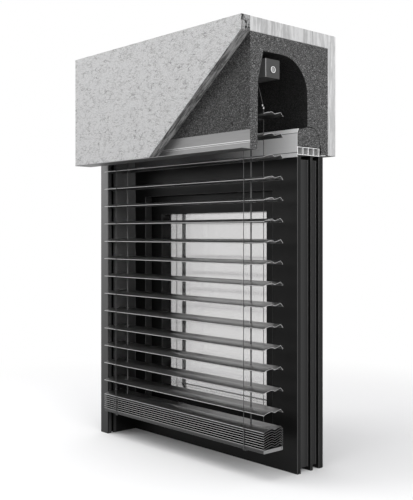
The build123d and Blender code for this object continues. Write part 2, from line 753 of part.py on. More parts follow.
# Sash frame: front lip, glass rebate, and an inner lip that laps over the frame
sash_front = window_front + LEG_THICKNESS + SASH_GAP
rebate_face = sash_front + SASH_FRONT_LIP
stile_rebate = STILE_SIGHT - REBATE
rail_rebate = RAIL_SIGHT - REBATE
sash_lap_y = window_front + lap_start
sash_back_y = window_front + sash_back
sash_outer = (SASH_EDGE, SASH_EDGE)
sash_lap = (SASH_EDGE - SASH_LAP, SASH_EDGE - SASH_LAP)
sight = (STILE_SIGHT, RAIL_SIGHT)
rebate = (stile_rebate, rail_rebate)
with BuildPart() as sash:
    extrude(window_ring(sash_front, sash_outer, sight), amount=-SASH_FRONT_LIP)
    extrude(window_ring(rebate_face, sash_outer, rebate), amount=rebate_face - sash_lap_y)
    extrude(window_ring(sash_lap_y, sash_lap, rebate), amount=-SASH_INNER_LIP)
sash.part.label = "sash_frame"
export_step(sash.part, "parts/sash_frame.step")

# Insulating glass unit: panes and spacer frames by turns, from the outside in
glass_insets = (stile_rebate + GLASS_CLEARANCE, rail_rebate + GLASS_CLEARANCE)
spacer_insets = (STILE_SIGHT - SPACER_WIDTH, RAIL_SIGHT - SPACER_WIDTH)
glass_layers = (
    (OUTER_PANE, "pane"),
    (PANE_GAP, "spacer"),
    (MIDDLE_PANE, "pane"),
    (PANE_GAP, "spacer"),
    (OUTER_PANE, "pane"),
)
glass_y = rebate_face
glass_solids = []
for thickness, kind in glass_layers:
    with BuildPart() as layer:
        if kind == "pane":
            extrude(window_sheet(glass_y, glass_insets), amount=-thickness)
        else:
            extrude(window_ring(glass_y, spacer_insets, sight), amount=-thickness)
    glass_solids += layer.solids()
    glass_y += thickness
glass_unit = Compound(children=glass_solids)
glass_unit.label = "insulating_glass_unit"
export_step(glass_unit, "parts/insulating_glass_unit.step")

# Glazing beads that hold the glass from the room side: two upright, two across between them
bead_depth = sash_back_y - glass_y
bead_height = WINDOW_HEIGHT - 2 * rail_rebate
bead_solids = []
for side in (-1, 1):
    with BuildPart() as stile_bead:
        with BuildSketch(upright(glass_y)):
            with Locations((side * (BOX_LENGTH / 2 - stile_rebate - REBATE / 2), WINDOW_HEIGHT / 2)):
                Rectangle(REBATE, bead_height)
        extrude(amount=-bead_depth)
    with BuildPart() as rail_bead:
        with BuildSketch(upright(glass_y)):
            with Locations((0, WINDOW_HEIGHT / 2 + side * (bead_height - REBATE) / 2)):
                Rectangle(BOX_LENGTH - 2 * STILE_SIGHT, REBATE)
        extrude(amount=-bead_depth)
    bead_solids += [*stile_bead.solids(), *rail_bead.solids()]
glazing_beads = Compound(children=bead_solids)
glazing_beads.label = "glazing_beads"
export_step(glazing_beads, "parts/glazing_beads.step")

# Hinges: the frame's leaf carries the outer knuckles and the pin, the sash's leaf the middle one
hinge_x = box_right - HINGE_AXIS_INSET
hinge_y = sash_back_y + HINGE_RADIUS + SEAL_CLEARANCE
hinge_height = KNUCKLES * HINGE_KNUCKLE + (KNUCKLES - 1) * SEAL_CLEARANCE
sash_top = WINDOW_HEIGHT - SASH_EDGE + SASH_LAP
hinge_z = [
    SASH_EDGE - SASH_LAP + HINGE_FROM_CORNER,
    sash_top - HINGE_FROM_CORNER - hinge_height,
]
frame_face_y = window_front + frame_depth
frame_leaves = []
for z in hinge_z:
    with BuildPart() as frame_leaf:
        for knuckle_z in (z, z + hinge_height - HINGE_KNUCKLE):
            with BuildSketch(Plane.XY.offset(knuckle_z)):
                with Locations((hinge_x, hinge_y)):
                    Circle(HINGE_RADIUS)
                with Locations((hinge_x, frame_face_y)):
                    Rectangle(
                        HINGE_RADIUS,
                        hinge_y - frame_face_y,
                        align=(Align.MIN, Align.MIN),
                    )
            extrude(amount=HINGE_KNUCKLE)
        with BuildSketch(Plane.XY.offset(z)):
            with Locations((hinge_x, frame_face_y)):
                Rectangle(HINGE_LEAF_REACH, HINGE_LEAF, align=(Align.MIN, Align.MIN))
        extrude(amount=hinge_height)
        with BuildSketch(Plane.XY.offset(z)):
            with Locations((hinge_x, hinge_y)):
                Circle(HINGE_PIN)
        extrude(amount=hinge_height, mode=Mode.SUBTRACT)
    with BuildPart() as hinge_pin:
        with BuildSketch(Plane.XY.offset(z)):
            with Locations((hinge_x, hinge_y)):
                Circle(HINGE_PIN)
        extrude(amount=hinge_height)
    frame_leaves += [*frame_leaf.solids(), *hinge_pin.solids()]
hinge_frame_leaves = Compound(children=frame_leaves)
hinge_frame_leaves.label = "hinge_frame_leaves"
export_step(hinge_frame_leaves, "parts/hinge_frame_leaves.step")

# Fittings on the sash: the hinges' sash leaves and the handle's rosette
handle_x = box_left + HANDLE_INSET
handle_z = WINDOW_HEIGHT / 2
leaf_gap = HINGE_RADIUS + SEAL_CLEARANCE
sash_fittings = []
for z in hinge_z:
    knuckle_z = z + HINGE_KNUCKLE + SEAL_CLEARANCE
    with BuildPart() as sash_leaf:
        with BuildSketch(Plane.XY.offset(knuckle_z)):
            with Locations((hinge_x, hinge_y)):
                Circle(HINGE_RADIUS)
            with Locations((hinge_x, sash_back_y)):
                Rectangle(leaf_gap, HINGE_LEAF, align=(Align.MAX, Align.MIN))
        extrude(amount=HINGE_KNUCKLE)
        with BuildSketch(Plane.XY.offset(z)):
            with Locations((hinge_x - leaf_gap, sash_back_y)):
                Rectangle(HINGE_LEAF_REACH, HINGE_LEAF, align=(Align.MAX, Align.MIN))
        extrude(amount=hinge_height)
        with BuildSketch(Plane.XY.offset(z)):
            with Locations((hinge_x, hinge_y)):
                Circle(HINGE_PIN + HINGE_FIT)
        extrude(amount=hinge_height, mode=Mode.SUBTRACT)
    sash_fittings += sash_leaf.solids()
with BuildPart() as rosette:
    with BuildSketch(upright(sash_back_y)):
        with Locations((handle_x, handle_z)):
            RectangleRounded(ROSETTE_WIDTH, ROSETTE_HEIGHT, HANDLE_NECK)
            Circle(HANDLE_NECK + HANDLE_FIT, mode=Mode.SUBTRACT)
    extrude(amount=-ROSETTE_THICKNESS)
sash_fittings += rosette.solids()
fittings = Compound(children=sash_fittings)
fittings.label = "sash_fittings"
export_step(fittings, "parts/sash_fittings.step")

# Window handle: a neck in the rosette's bore and a lever that hangs down when closed
neck_start = sash_back_y + SEAL_CLEARANCE
lever_end = sash_back_y + ROSETTE_THICKNESS + HANDLE_REACH
with BuildPart() as handle:
    with BuildSketch(upright(neck_start)):
        with Locations((handle_x, handle_z)):
            Circle(HANDLE_NECK)
    extrude(amount=neck_start - lever_end + LEVER_THICKNESS)
    with BuildSketch(upright(lever_end - LEVER_THICKNESS)):
        with Locations((handle_x, handle_z + LEVER_WIDTH / 2 - LEVER_LENGTH / 2)):
            SlotOverall(LEVER_LENGTH, LEVER_WIDTH, rotation=90)
    extrude(amount=-LEVER_THICKNESS)
    fillet(handle.faces().sort_by(Axis.Y)[-1].edges(), HINGE_LEAF)
handle.part.label = "window_handle"
export_step(handle.part, "parts/window_handle.step")
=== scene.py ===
# %% [markdown]
# An exterior venetian blind hangs in the cavity of a rendered lintel box, in front of a dark window.
# The solids come from the CAD model. This lesson gives them finishes and replaces the thin pieces,
# such as slats and strings, by meshes. The model is loaded first, so that later sizes can be read
# from it.

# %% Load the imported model
import json
import math

import bmesh
import bpy
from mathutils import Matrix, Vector

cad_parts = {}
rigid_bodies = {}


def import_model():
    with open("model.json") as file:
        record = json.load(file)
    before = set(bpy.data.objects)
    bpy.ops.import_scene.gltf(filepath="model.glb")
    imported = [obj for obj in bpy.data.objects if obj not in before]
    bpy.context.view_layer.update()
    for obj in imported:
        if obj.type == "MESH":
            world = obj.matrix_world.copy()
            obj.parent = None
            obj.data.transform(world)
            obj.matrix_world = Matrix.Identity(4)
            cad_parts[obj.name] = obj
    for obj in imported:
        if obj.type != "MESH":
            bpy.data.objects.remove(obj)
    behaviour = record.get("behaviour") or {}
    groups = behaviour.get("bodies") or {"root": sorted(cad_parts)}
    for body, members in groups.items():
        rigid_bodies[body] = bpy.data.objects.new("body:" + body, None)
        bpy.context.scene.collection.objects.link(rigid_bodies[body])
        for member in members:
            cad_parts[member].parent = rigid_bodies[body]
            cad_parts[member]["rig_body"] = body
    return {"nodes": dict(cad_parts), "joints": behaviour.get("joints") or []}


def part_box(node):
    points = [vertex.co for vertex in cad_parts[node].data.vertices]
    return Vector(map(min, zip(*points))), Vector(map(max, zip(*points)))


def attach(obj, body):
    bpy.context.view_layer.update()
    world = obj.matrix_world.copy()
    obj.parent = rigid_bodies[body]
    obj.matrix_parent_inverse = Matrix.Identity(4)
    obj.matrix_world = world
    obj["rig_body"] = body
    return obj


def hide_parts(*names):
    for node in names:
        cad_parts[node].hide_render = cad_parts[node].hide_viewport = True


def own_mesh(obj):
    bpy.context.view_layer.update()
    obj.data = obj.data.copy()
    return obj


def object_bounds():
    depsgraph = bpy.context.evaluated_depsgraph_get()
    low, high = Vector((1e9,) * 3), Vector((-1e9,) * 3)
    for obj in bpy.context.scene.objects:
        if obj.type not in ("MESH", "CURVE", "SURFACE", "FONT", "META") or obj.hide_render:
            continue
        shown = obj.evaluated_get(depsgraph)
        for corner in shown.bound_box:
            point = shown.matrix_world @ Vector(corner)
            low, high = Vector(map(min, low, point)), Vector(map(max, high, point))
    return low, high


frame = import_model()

scene = bpy.context.scene
cad_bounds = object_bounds()
print("packed model, size in metres:", [round(v, 3) for v in cad_bounds[1] - cad_bounds[0]])

# %% [markdown]
# Where things are. These places could be typed, but reading them from the model keeps the scene right
# when the model changes. Lengths are in metres, with X along the blind, Y to the room and Z up. The
# element is cut open at its right end, so several finishes change near that plane.

# %% Places read from the model
TAPE_WIDTH = 0.008
CORD_RADIUS = 0.001


def joint(name):
    """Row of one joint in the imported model."""
    return next(row for row in frame["joints"] if row["name"] == name)


cut_end = cad_bounds[1].x
slat_count = len([name for name in frame["nodes"] if name.startswith("slat_")])
slat_left, slat_right = (corner.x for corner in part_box("slat_01"))
axis_y = joint("tilt")["pos_m"][1]
slat_heights = [joint(f"turn_{i + 1:02d}")["pos_m"][2] for i in range(slat_count)]
tape_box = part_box("lift_tapes")
cord_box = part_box("ladder_cords")
rail_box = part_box("head_rail")
tape_x = (tape_box[0].x + TAPE_WIDTH / 2, tape_box[1].x - TAPE_WIDTH / 2)
ladder_x = (cord_box[0].x + CORD_RADIUS, cord_box[1].x - CORD_RADIUS)
print("slats", slat_count, "pitch", round(slat_heights[0] - slat_heights[1], 4))
print("ladders at", [round(x, 4) for x in ladder_x], "tapes at", [round(x, 4) for x in tape_x])

# %% [markdown]
# The camera stands in front of the cut end, at half the object's height, turned to the left. A longer
# lens from further off would flatten the box, a shorter one would spread it. It looks level, which
# keeps uprights upright. A tilt would lower the picture's middle but lean them, so the lens is shifted.

# %% Camera
CAMERA_PLACE = (2.0201, -1.7872, 0.703)
CAMERA_TURN = 47.974
CAMERA_LENS = 59.33
CAMERA_SHIFT = -0.0319


def linked(name, data):
    """New object in the scene for camera, lamp, curve or mesh data."""
    made = bpy.data.objects.new(name, data)
    scene.collection.objects.link(made)
    return made


camera_data = bpy.data.cameras.new("camera")
camera_data.lens = CAMERA_LENS
camera_data.shift_y = CAMERA_SHIFT
camera = linked("camera", camera_data)
camera.location = CAMERA_PLACE
camera.rotation_euler = (math.radians(90), 0, math.radians(CAMERA_TURN))
scene.camera = camera
print("camera height", CAMERA_PLACE[2])

# %% [markdown]
# The world, the materials and the Geometry Nodes are all trees of nodes. Each node could be made, set
# and linked line by line. A helper that makes a node and feeds its inputs does it in one line, which
# reads like the node's panel.

# %% Helpers for trees of nodes
def feed(tree, node, inputs):
    """Feeds a node's inputs by name or number: a socket is linked, any other value is set."""
    for name, value in inputs.items():
        if isinstance(value, bpy.types.NodeSocket):
            tree.links.new(value, node.inputs[name])
        else:
            node.inputs[name].default_value = value


def add_node(tree, kind, inputs=None, **settings):
    """Outputs of a new node, with its properties set and its inputs fed."""
    node = tree.nodes.new(kind)
    for name, value in settings.items():
        setattr(node, name, value)
    feed(tree, node, inputs or {})
    return node.outputs


def calculated(tree, operation, *values, **settings):
    """Result of a Math node on sockets or plain numbers."""
    return add_node(tree, "ShaderNodeMath", dict(enumerate(values)), operation=operation, **settings)[0]


def ramped(tree, value, low, high):
    """Value stretched so that low becomes 0 and high becomes 1, clamped."""
    return add_node(tree, "ShaderNodeMapRange", {"Value": value, "From Min": low, "From Max": high})[0]


def blended(tree, factor, first, second, kind="RGBA"):
    """Mix of two colours, or of two numbers if the kind is FLOAT."""
    shift, result = (6, 2) if kind == "RGBA" else (2, 0)
    inputs = {0: factor, shift: first, shift + 1: second}
    return add_node(tree, "ShaderNodeMix", inputs, data_type=kind)[result]


def show_mix(tree, factor, first, second, end="Material Output"):
    """Mix of two shaders, shown as the surface."""
    mix = add_node(tree, "ShaderNodeMixShader", {0: factor, 1: first, 2: second})
    feed(tree, tree.nodes[end], {"Surface": mix[0]})


print("helpers ready")

# %% [markdown]
# Light. The object stands in a bright, even studio. Small lamps would draw hard shadows, so a grey
# world and three large lamps give the soft shading under the box. Metal and glass have to see the
# white room: camera, glossy and transmission rays meet white, and only the others the grey.

# %% World and lamps
WHITE = (1, 1, 1, 1)
STUDIO_GREY = (0.53, 0.53, 0.54, 1)
BOX_MIDDLE = Vector((0, 0, 0.9))


def seen_rays(tree):
    """1 for camera, glossy and transmission rays, 0 for all others."""
    path = add_node(tree, "ShaderNodeLightPath")
    straight = calculated(tree, "MAXIMUM", path["Is Camera Ray"], path["Is Glossy Ray"])
    return calculated(tree, "MAXIMUM", straight, path["Is Transmission Ray"])


def softbox(name, place, size, power):
    """Large square lamp at a place, turned to the middle of the box."""
    data = bpy.data.lights.new(name, "AREA")
    data.size = size
    data.energy = power
    lamp = linked(name, data)
    lamp.location = place
    lamp.rotation_euler = (BOX_MIDDLE - Vector(place)).to_track_quat("-Z", "Y").to_euler()


scene.view_settings.view_transform = "Standard"
world = bpy.data.worlds.new("studio")
scene.world = world
world.use_nodes = True
studio = world.node_tree
room = studio.nodes["Background"]
feed(studio, room, {"Color": STUDIO_GREY})
white_room = add_node(studio, "ShaderNodeBackground", {"Color": WHITE})[0]
show_mix(studio, seen_rays(studio), room.outputs[0], white_room, "World Output")
softbox("overhead lamp", (-0.3, -0.8, 3.6), 3.4, 84)
softbox("front lamp", (-2.9, -2.7, 2.1), 2.4, 58)
softbox("end lamp", (3.3, -1.0, 1.5), 2.0, 66)

# %% [markdown]
# The floor takes a soft grey shadow near the object and melts into the white room further off. A plain
# white floor would show a horizon and throw light up into the dark underside of the box. So the
# camera sees a pale floor that glows more with the distance, and bouncing light meets a dark one.

# %% Floor
FLOOR_SIZE = 60.0
SHADOW_REACH = 0.95
GLOW_REACH = 2.1
SEEN_FLOOR = (0.88, 0.88, 0.88, 1)
BOUNCE_FLOOR = (0.10, 0.10, 0.10, 1)


def new_finish(name, metallic=0.0, specular=0.5):
    """Material with its tree, its shader, and the object coordinates as a pattern's place."""
    material = bpy.data.materials.new(name)
    material.use_nodes = True
    tree = material.node_tree
    shader = tree.nodes["Principled BSDF"]
    feed(tree, shader, {"Metallic": metallic, "Specular IOR Level": specular})
    return material, tree, shader, add_node(tree, "ShaderNodeTexCoord")["Object"]


bpy.ops.mesh.primitive_plane_add(size=FLOOR_SIZE)
floor = bpy.context.object
floor.name = "studio_floor"
floor_paint, tree, matt, place = new_finish("floor", specular=0.1)
seen = seen_rays(tree)
feed(tree, matt, {"Base Color": blended(tree, seen, BOUNCE_FLOOR, SEEN_FLOOR), "Roughness": 0.9})
distance = add_node(tree, "ShaderNodeVectorMath", {0: place}, operation="LENGTH")["Value"]
reach = add_node(tree, "ShaderNodeMapRange", {
    "Value": distance, "From Min": SHADOW_REACH, "From Max": GLOW_REACH},
    interpolation_type="SMOOTHSTEP")[0]
glow = add_node(tree, "ShaderNodeEmission", {"Color": WHITE})[0]
show_mix(tree, calculated(tree, "MULTIPLY", seen, reach), matt.outputs[0], glow)
floor.data.materials.append(floor_paint)
print("floor", FLOOR_SIZE, "m wide")

# %% [markdown]
# Shared effects. What several finishes need is built once, as a node group with named inputs, and
# each material places it with its own values. A group could hold the whole shader, but the export
# can't read that, so it gives colours, values and heights only. The first group is the grain: fine
# noise for the film of a paint, over slow clouds for uneven wear.

# %% Group: fine grain
FINE_SHARE = 0.6
CLOUD_SHARE = 0.4
CLOUDS_PER_METRE = 7


def group_with(name, inputs, outputs, kind="ShaderNodeTree"):
    """Empty node group with named sockets, and the values that it is given."""
    group = bpy.data.node_groups.new(name, kind)
    for direction, sockets in (("INPUT", inputs), ("OUTPUT", outputs)):
        for socket, value in sockets.items():
            group.interface.new_socket(socket, in_out=direction, socket_type="NodeSocket" + value)
    return group, group.nodes.new("NodeGroupInput").outputs


def noise(tree, place, scale, detail, roughness=0.5):
    """Values of a noise texture at a place."""
    inputs = {"Vector": place, "Scale": scale, "Detail": detail, "Roughness": roughness}
    return add_node(tree, "ShaderNodeTexNoise", inputs)[0]


grain_group, given = group_with(
    "fine grain",
    {"Place": "Vector", "Grains per metre": "Float", "Light": "Color", "Dark": "Color",
     "Smooth": "Float", "Rough": "Float"},
    {"Colour": "Color", "Roughness": "Float", "Height": "Float"})
fine = noise(grain_group, given["Place"], given["Grains per metre"], 5, 0.65)
clouds = noise(grain_group, given["Place"], CLOUDS_PER_METRE, 3)
clouds = calculated(grain_group, "MULTIPLY", clouds, CLOUD_SHARE)
share = ramped(grain_group, calculated(grain_group, "MULTIPLY_ADD", fine, FINE_SHARE, clouds), 0.35, 0.65)
add_node(grain_group, "NodeGroupOutput", {
    "Colour": blended(grain_group, share, given["Dark"], given["Light"]),
    "Roughness": blended(grain_group, share, given["Rough"], given["Smooth"], "FLOAT"),
    "Height": fine})
print("group", grain_group.name)

# %% [markdown]
# Streaks are what a saw or a trowel leaves in a cut layer of render. A wave texture would look too
# even, so they are noise with more contrast, which each material stretches along one direction.

# %% Group: streaks along one direction
streak_group, given = group_with(
    "streaks",
    {"Place": "Vector", "Streaks per metre": "Float", "Light": "Color", "Dark": "Color"},
    {"Colour": "Color", "Height": "Float"})
drawn_out = noise(streak_group, given["Place"], given["Streaks per metre"], 6, 0.7)
share = ramped(streak_group, drawn_out, 0.42, 0.58)
add_node(streak_group, "NodeGroupOutput", {
    "Colour": blended(streak_group, share, given["Dark"], given["Light"]), "Height": share})
print("group", streak_group.name)

# %% [markdown]
# Bead foam is blown from small beads that are pressed together in a mould. Real balls would be too
# many, and Voronoi cells are just that pattern: one texture gives each bead its tone and its round
# top, a second one the distance to the dark seam between two beads.

# %% Group: foam beads
bead_group, given = group_with(
    "foam beads",
    {"Place": "Vector", "Beads per metre": "Float", "Bead": "Color", "Seam": "Color"},
    {"Colour": "Color", "Height": "Float"})
cells = {"Vector": given["Place"], "Scale": given["Beads per metre"]}
bead = add_node(bead_group, "ShaderNodeTexVoronoi", cells, feature="F1")
seam = add_node(bead_group, "ShaderNodeTexVoronoi", cells, feature="DISTANCE_TO_EDGE")
tone = add_node(bead_group, "ShaderNodeSeparateColor", {0: bead["Color"]})[0]
fill = calculated(bead_group, "MULTIPLY", ramped(bead_group, seam["Distance"], 0.0, 0.20),
                  ramped(bead_group, tone, -0.9, 1.0))
add_node(bead_group, "NodeGroupOutput", {
    "Colour": blended(bead_group, fill, given["Seam"], given["Bead"]),
    "Height": calculated(bead_group, "SUBTRACT", 1.0, bead["Distance"])})
print("group", bead_group.name)

# %% [markdown]
# A material's own part is short: it places a group, stretches it with a Mapping node, and hands
# colour, roughness and height to the Principled shader, which keeps all uniform numbers on its own
# sockets. Masks by place could be painted, but worked out from the coordinates they stay sharp.

# %% Helpers for materials
def grey(level):
    """Colour of one grey, given as a picture's level from 0 to 255."""
    share = level / 255
    value = share / 12.92 if share <= 0.04045 else ((share + 0.055) / 1.055) ** 2.4
    return (value, value, value, 1)


def stretched(tree, place, scale, turn=(0, 0, 0)):
    """Pattern's place turned and then stretched by a Mapping node."""
    inputs = {"Vector": place, "Scale": scale, "Rotation": [math.radians(a) for a in turn]}
    return add_node(tree, "ShaderNodeMapping", inputs, vector_type="TEXTURE")[0]


def place_group(tree, group, place, **values):
    """Outputs of a group in a material; underscores in the inputs' names stand for spaces."""
    inputs = {name.replace("_", " "): value for name, value in values.items()}
    return add_node(tree, "ShaderNodeGroup", {"Place": place, **inputs}, node_tree=group)


def bump(tree, height, strength, depth, under=None):
    """Normal of a relief, its depth in metres, on top of another relief if one is given."""
    inputs = {"Height": height, "Strength": strength, "Distance": depth}
    if under is not None:
        inputs["Normal"] = under
    return add_node(tree, "ShaderNodeBump", inputs)[0]


def axis_part(tree, vector, axis):
    """The X, Y or Z part of a vector."""
    return add_node(tree, "ShaderNodeSeparateXYZ", {0: vector})[axis]


def by_place(tree, place, axis, low, high):
    """Value that goes from 0 to 1 between two places along an object axis."""
    return ramped(tree, axis_part(tree, place, axis), low, high)


def on_line(tree, place, axis, middle, half):
    """1 on a thin line across an object axis, 0 away from it."""
    offset = calculated(tree, "SUBTRACT", axis_part(tree, place, axis), middle)
    return ramped(tree, calculated(tree, "ABSOLUTE", offset), half, half * 0.5)


print("a middle grey is", round(grey(128)[0], 3))

# %% [markdown]
# Paint, plastic, metal and thread differ a lot, but in the picture each is a fine grain between two
# near greys, with its own shine. So one function makes nearly all finishes, with a change of grey
# along an axis or thin lines across it if needed.

# %% The grained finish
def grained(name, light, dark, smooth, rough, grains=900, depth=0.0001, metallic=0.0, specular=0.5,
            coat=0.0, stretch=(1, 1, 1), tint=None, lines=()):
    """Finish with a fine grain between two greys and two roughnesses.

    A tint is an axis, two places and the grey that holds at the first place. Each line is an axis,
    its place, its half width and its grey.
    """
    material, tree, shader, place = new_finish(name, metallic, specular)
    grain = place_group(tree, grain_group, stretched(tree, place, stretch), Grains_per_metre=grains,
                        Light=grey(light), Dark=grey(dark), Smooth=smooth, Rough=rough)
    colour = grain["Colour"]
    if tint:
        axis, low, high, level = tint
        colour = blended(tree, by_place(tree, place, axis, low, high), grey(level), colour)
    for axis, middle, half, level in lines:
        colour = blended(tree, on_line(tree, place, axis, middle, half), colour, grey(level))
    feed(tree, shader, {"Base Color": colour, "Roughness": grain["Roughness"], "Coat Weight": coat})
    if depth:
        feed(tree, shader, {"Normal": bump(tree, grain["Height"], 0.5, depth)})
    return material


print("inputs of the grain", [s.name for s in grain_group.interface.items_tree if s.in_out == "INPUT"])

# %% [markdown]
# Paint and plastic. Powder coat is a dull, slightly pebbled film, so its grain is fine and its shine
# low. Its eased edges take a pale finish, a painted highlight. The slats' paint is smoother and nearly
# a mirror at a low angle. A clear coat mirrors little except at low angles, and a metal mirrors at all
# of them, so it is a rough metal under a thin coat. The slats in the pack get a darker copy with more
# gloss: the darker grey is painted shade between them.

# %% Paint, rubber and plastic finishes
DRAWN = (30, 1, 1)
anthracite = grained("anthracite coat", 21, 15, 0.38, 0.50, 1400, 0.00006, specular=0.16)
# Pale finish for the bevels on the window's edges: a painted highlight.
painted_edge_highlight = grained("painted highlight for the coat's edges", 92, 76, 0.36, 0.48, 1400, 0.00003, specular=0.4)
slat_paint = grained("slat paint", 150, 138, 0.29, 0.33, 90, 0.0, metallic=1.0, coat=0.15,
                     stretch=DRAWN)
# Darker copy of the slat paint for the slats in the pack: painted shade between them.
pack_paint_painted_shade = grained("slat paint with painted shade for the pack", 116, 106, 0.17, 0.20, 90, 0.0, metallic=1.0, coat=0.35,
                     stretch=DRAWN)
bottom_rail_coat = grained("bottom rail coat", 26, 20, 0.3, 0.4, 700, 0.00002, stretch=DRAWN,
                           tint=("X", cut_end - 0.0002, cut_end - 0.0010, 150))
# Painted shade: near black at the floor, fading to the panel's own grey at 1 m up.
panel_coat_painted_shade = grained("reveal panel", 114, 104, 0.32, 0.44, 1200, 0.00005, specular=0.4,
                     tint=("Z", 0.05, 1.0, 4))
rail_coat = grained("dark rail", 70, 60, 0.38, 0.50, 900, 0.00004, specular=0.4, stretch=(1, 1, 30))
head_rail_coat = grained("head rail coat", 108, 94, 0.30, 0.42, 700, 0.00004, stretch=DRAWN)
cover_coat = grained("cover strip coat", 150, 138, 0.30, 0.42, 700, 0.00004, metallic=0.3,
                     stretch=DRAWN)
rubber = grained("black rubber", 18, 12, 0.65, 0.80, 600, 0.0001, specular=0.2)
seam_dark = grained("dark foam seam", 22, 12, 0.8, 0.9, 500, 0.0001, specular=0.1)
liner_plastic = grained("grey plastic", 66, 56, 0.35, 0.5, 500, 0.00006)
# Pale where it reaches the cut end and along a thin line at one place in Y: painted highlights.
cap_plastic_painted_highlights = grained("end cap plastic with painted highlights", 60, 50, 0.35, 0.5, 500, 0.00006,
                      tint=("X", cut_end - 0.0005, cut_end - 0.0015, 246),
                      lines=[("Y", -0.1094, 0.0008, 210)])
clip_plastic = grained("white clip plastic", 246, 238, 0.3, 0.45, 500, 0.00005)
plug_plastic = grained("rail end plug", 146, 132, 0.35, 0.5, 500, 0.00005)
pin_plastic = grained("dark plastic pins", 52, 40, 0.35, 0.5, 500, 0.00005)
# Grey along its length and white only near the cut end: painted shade along the profiles.
profile_plastic_painted_shade = grained("white profile plastic with painted shade", 246, 236, 0.35, 0.5, 400, 0.00005,
                          tint=("X", cut_end - 0.0070, cut_end - 0.0020, 190))
print("finishes so far", len(bpy.data.materials))

# %% [markdown]
# Metal and textile. Aluminium profiles are drawn through a die, so their grain is stretched along X.
# Their fine grooves could be modelled, but thin pale lines in the finish, painted highlights, show them
# as well. A saw leaves a paler, evenly grained cut. Cords and tapes are matt.

# %% Metal and textile finishes
# Its two pale lines are painted highlights along the grooves of the angle.
anodised = grained("anodised aluminium with painted highlights", 116, 108, 0.38, 0.50, 500, 0.00003, metallic=0.35,
                   stretch=DRAWN, lines=[("Z", 0.9622, 0.0008, 205), ("Z", 0.9575, 0.0006, 180)])
# Painted darker towards the left, away from the open end where light comes in: painted light. Its dark line
# along the lower groove is painted shade; a second darker line runs near its top.
silver = grained("silver lip with painted light and shade", 254, 248, 0.38, 0.50, 500, 0.00003, stretch=DRAWN,
                 tint=("X", 0.05, 0.38, 124),
                 lines=[("Z", 0.9415, 0.0011, 20), ("Z", 0.9985, 0.0012, 110)])
cut_aluminium = grained("cut aluminium", 214, 196, 0.35, 0.55, 1500, 0.00004)
# Darker copy of the cut aluminium for the slat ends in the pack: painted shade.
pack_cut_painted_shade = grained("cut aluminium with painted shade for the pack", 132, 104, 0.35, 0.55, 1500, 0.00004)
steel = grained("steel", 176, 150, 0.25, 0.4, 800, 0.00003, metallic=1.0, stretch=DRAWN)
spacer_alloy = grained("spacer bar", 240, 230, 0.22, 0.32, 700, 0.00003, metallic=0.9)
cord_textile = grained("cord textile", 104, 70, 0.75, 0.9, 900, 0.0003, specular=0.2,
                       stretch=(1, 1, 0.4))
tape_textile = grained("tape textile", 112, 84, 0.75, 0.9, 1100, 0.0002, specular=0.2,
                       stretch=(0.5, 1, 1))
print("finishes so far", len(bpy.data.materials))

# %% [markdown]
# Glass. Three clear panes each take a little light, so the white room behind them shows as a pale
# grey. They are separate closed slabs with air between, as in a real unit. Glass for every ray would
# be noisy, so only what the camera sees is bent. Rays for shadows, soft light and mirrored light
# pass straight through, which looks the same in this even light.

# %% Glass finish
GLASS_LIGHT = (0.851, 0.848, 0.848, 1)
GLASS_DARK = (0.849, 0.846, 0.846, 1)
GLASS_IOR = 1.45

glass, tree, shader, place = new_finish("clear glass")
film = place_group(tree, grain_group, place, Grains_per_metre=12.0, Light=GLASS_LIGHT,
                   Dark=GLASS_DARK, Smooth=0.0, Rough=0.0)
feed(tree, shader, {"Base Color": film["Colour"], "Transmission Weight": 1.0, "Roughness": 0.0,
                    "IOR": GLASS_IOR})
clear = add_node(tree, "ShaderNodeBsdfTransparent", {"Color": [math.sqrt(part) for part in GLASS_LIGHT]})[0]
ray = add_node(tree, "ShaderNodeLightPath")
mirrored = calculated(tree, "SUBTRACT", ray["Is Glossy Ray"], ray["Is Transmission Ray"], use_clamp=True)
scattered = calculated(tree, "MAXIMUM", ray["Is Shadow Ray"], ray["Is Diffuse Ray"])
show_mix(tree, calculated(tree, "MAXIMUM", mirrored, scattered), shader.outputs[0], clear)
print("share of the light through one pane", GLASS_LIGHT[1])

# %% [markdown]
# Render is a coat of mortar. Its face is rubbed with a felt board, which leaves pits and short dark
# hairlines that curl and run mostly level. They could be drawn one by one, but the contour lines of
# a noise curl in the same way, and a second noise breaks them into patches.

# %% Group: felted render
LEVEL_STRETCH = (0.55, 0.55, 1.3)
PATCHES_PER_METRE = 38

felt_group, given = group_with(
    "felted render",
    {"Place": "Vector", "Pits per metre": "Float", "Cracks per metre": "Float", "Light": "Color",
     "Dark": "Color", "Crack": "Color"},
    {"Colour": "Color", "Height": "Float"})
pits = noise(felt_group, given["Place"], given["Pits per metre"], 6, 0.75)
level_place = add_node(felt_group, "ShaderNodeVectorMath", {0: given["Place"], 1: LEVEL_STRETCH},
                       operation="MULTIPLY")[0]
swirl = noise(felt_group, level_place, given["Cracks per metre"], 4, 0.62)
off_contour = calculated(felt_group, "ABSOLUTE", calculated(felt_group, "SUBTRACT", swirl, 0.5))
patches = noise(felt_group, given["Place"], PATCHES_PER_METRE, 3)
cracked = calculated(felt_group, "MULTIPLY", ramped(felt_group, off_contour, 0.030, 0.006),
                     ramped(felt_group, patches, 0.36, 0.66))
felt_tone = blended(felt_group, ramped(felt_group, pits, 0.36, 0.52), given["Dark"], given["Light"])
add_node(felt_group, "NodeGroupOutput", {
    "Colour": blended(felt_group, cracked, felt_tone, given["Crack"]),
    "Height": calculated(felt_group, "SUBTRACT", pits, cracked)})
print("group", felt_group.name)

# %% [markdown]
# Where a plate of render is cut, it shows coarse layers. Face and cut could have a finish each, but
# one serves both: the surface's direction tells them apart. The front plate is cut along a slope,
# so its layers are turned by that angle.

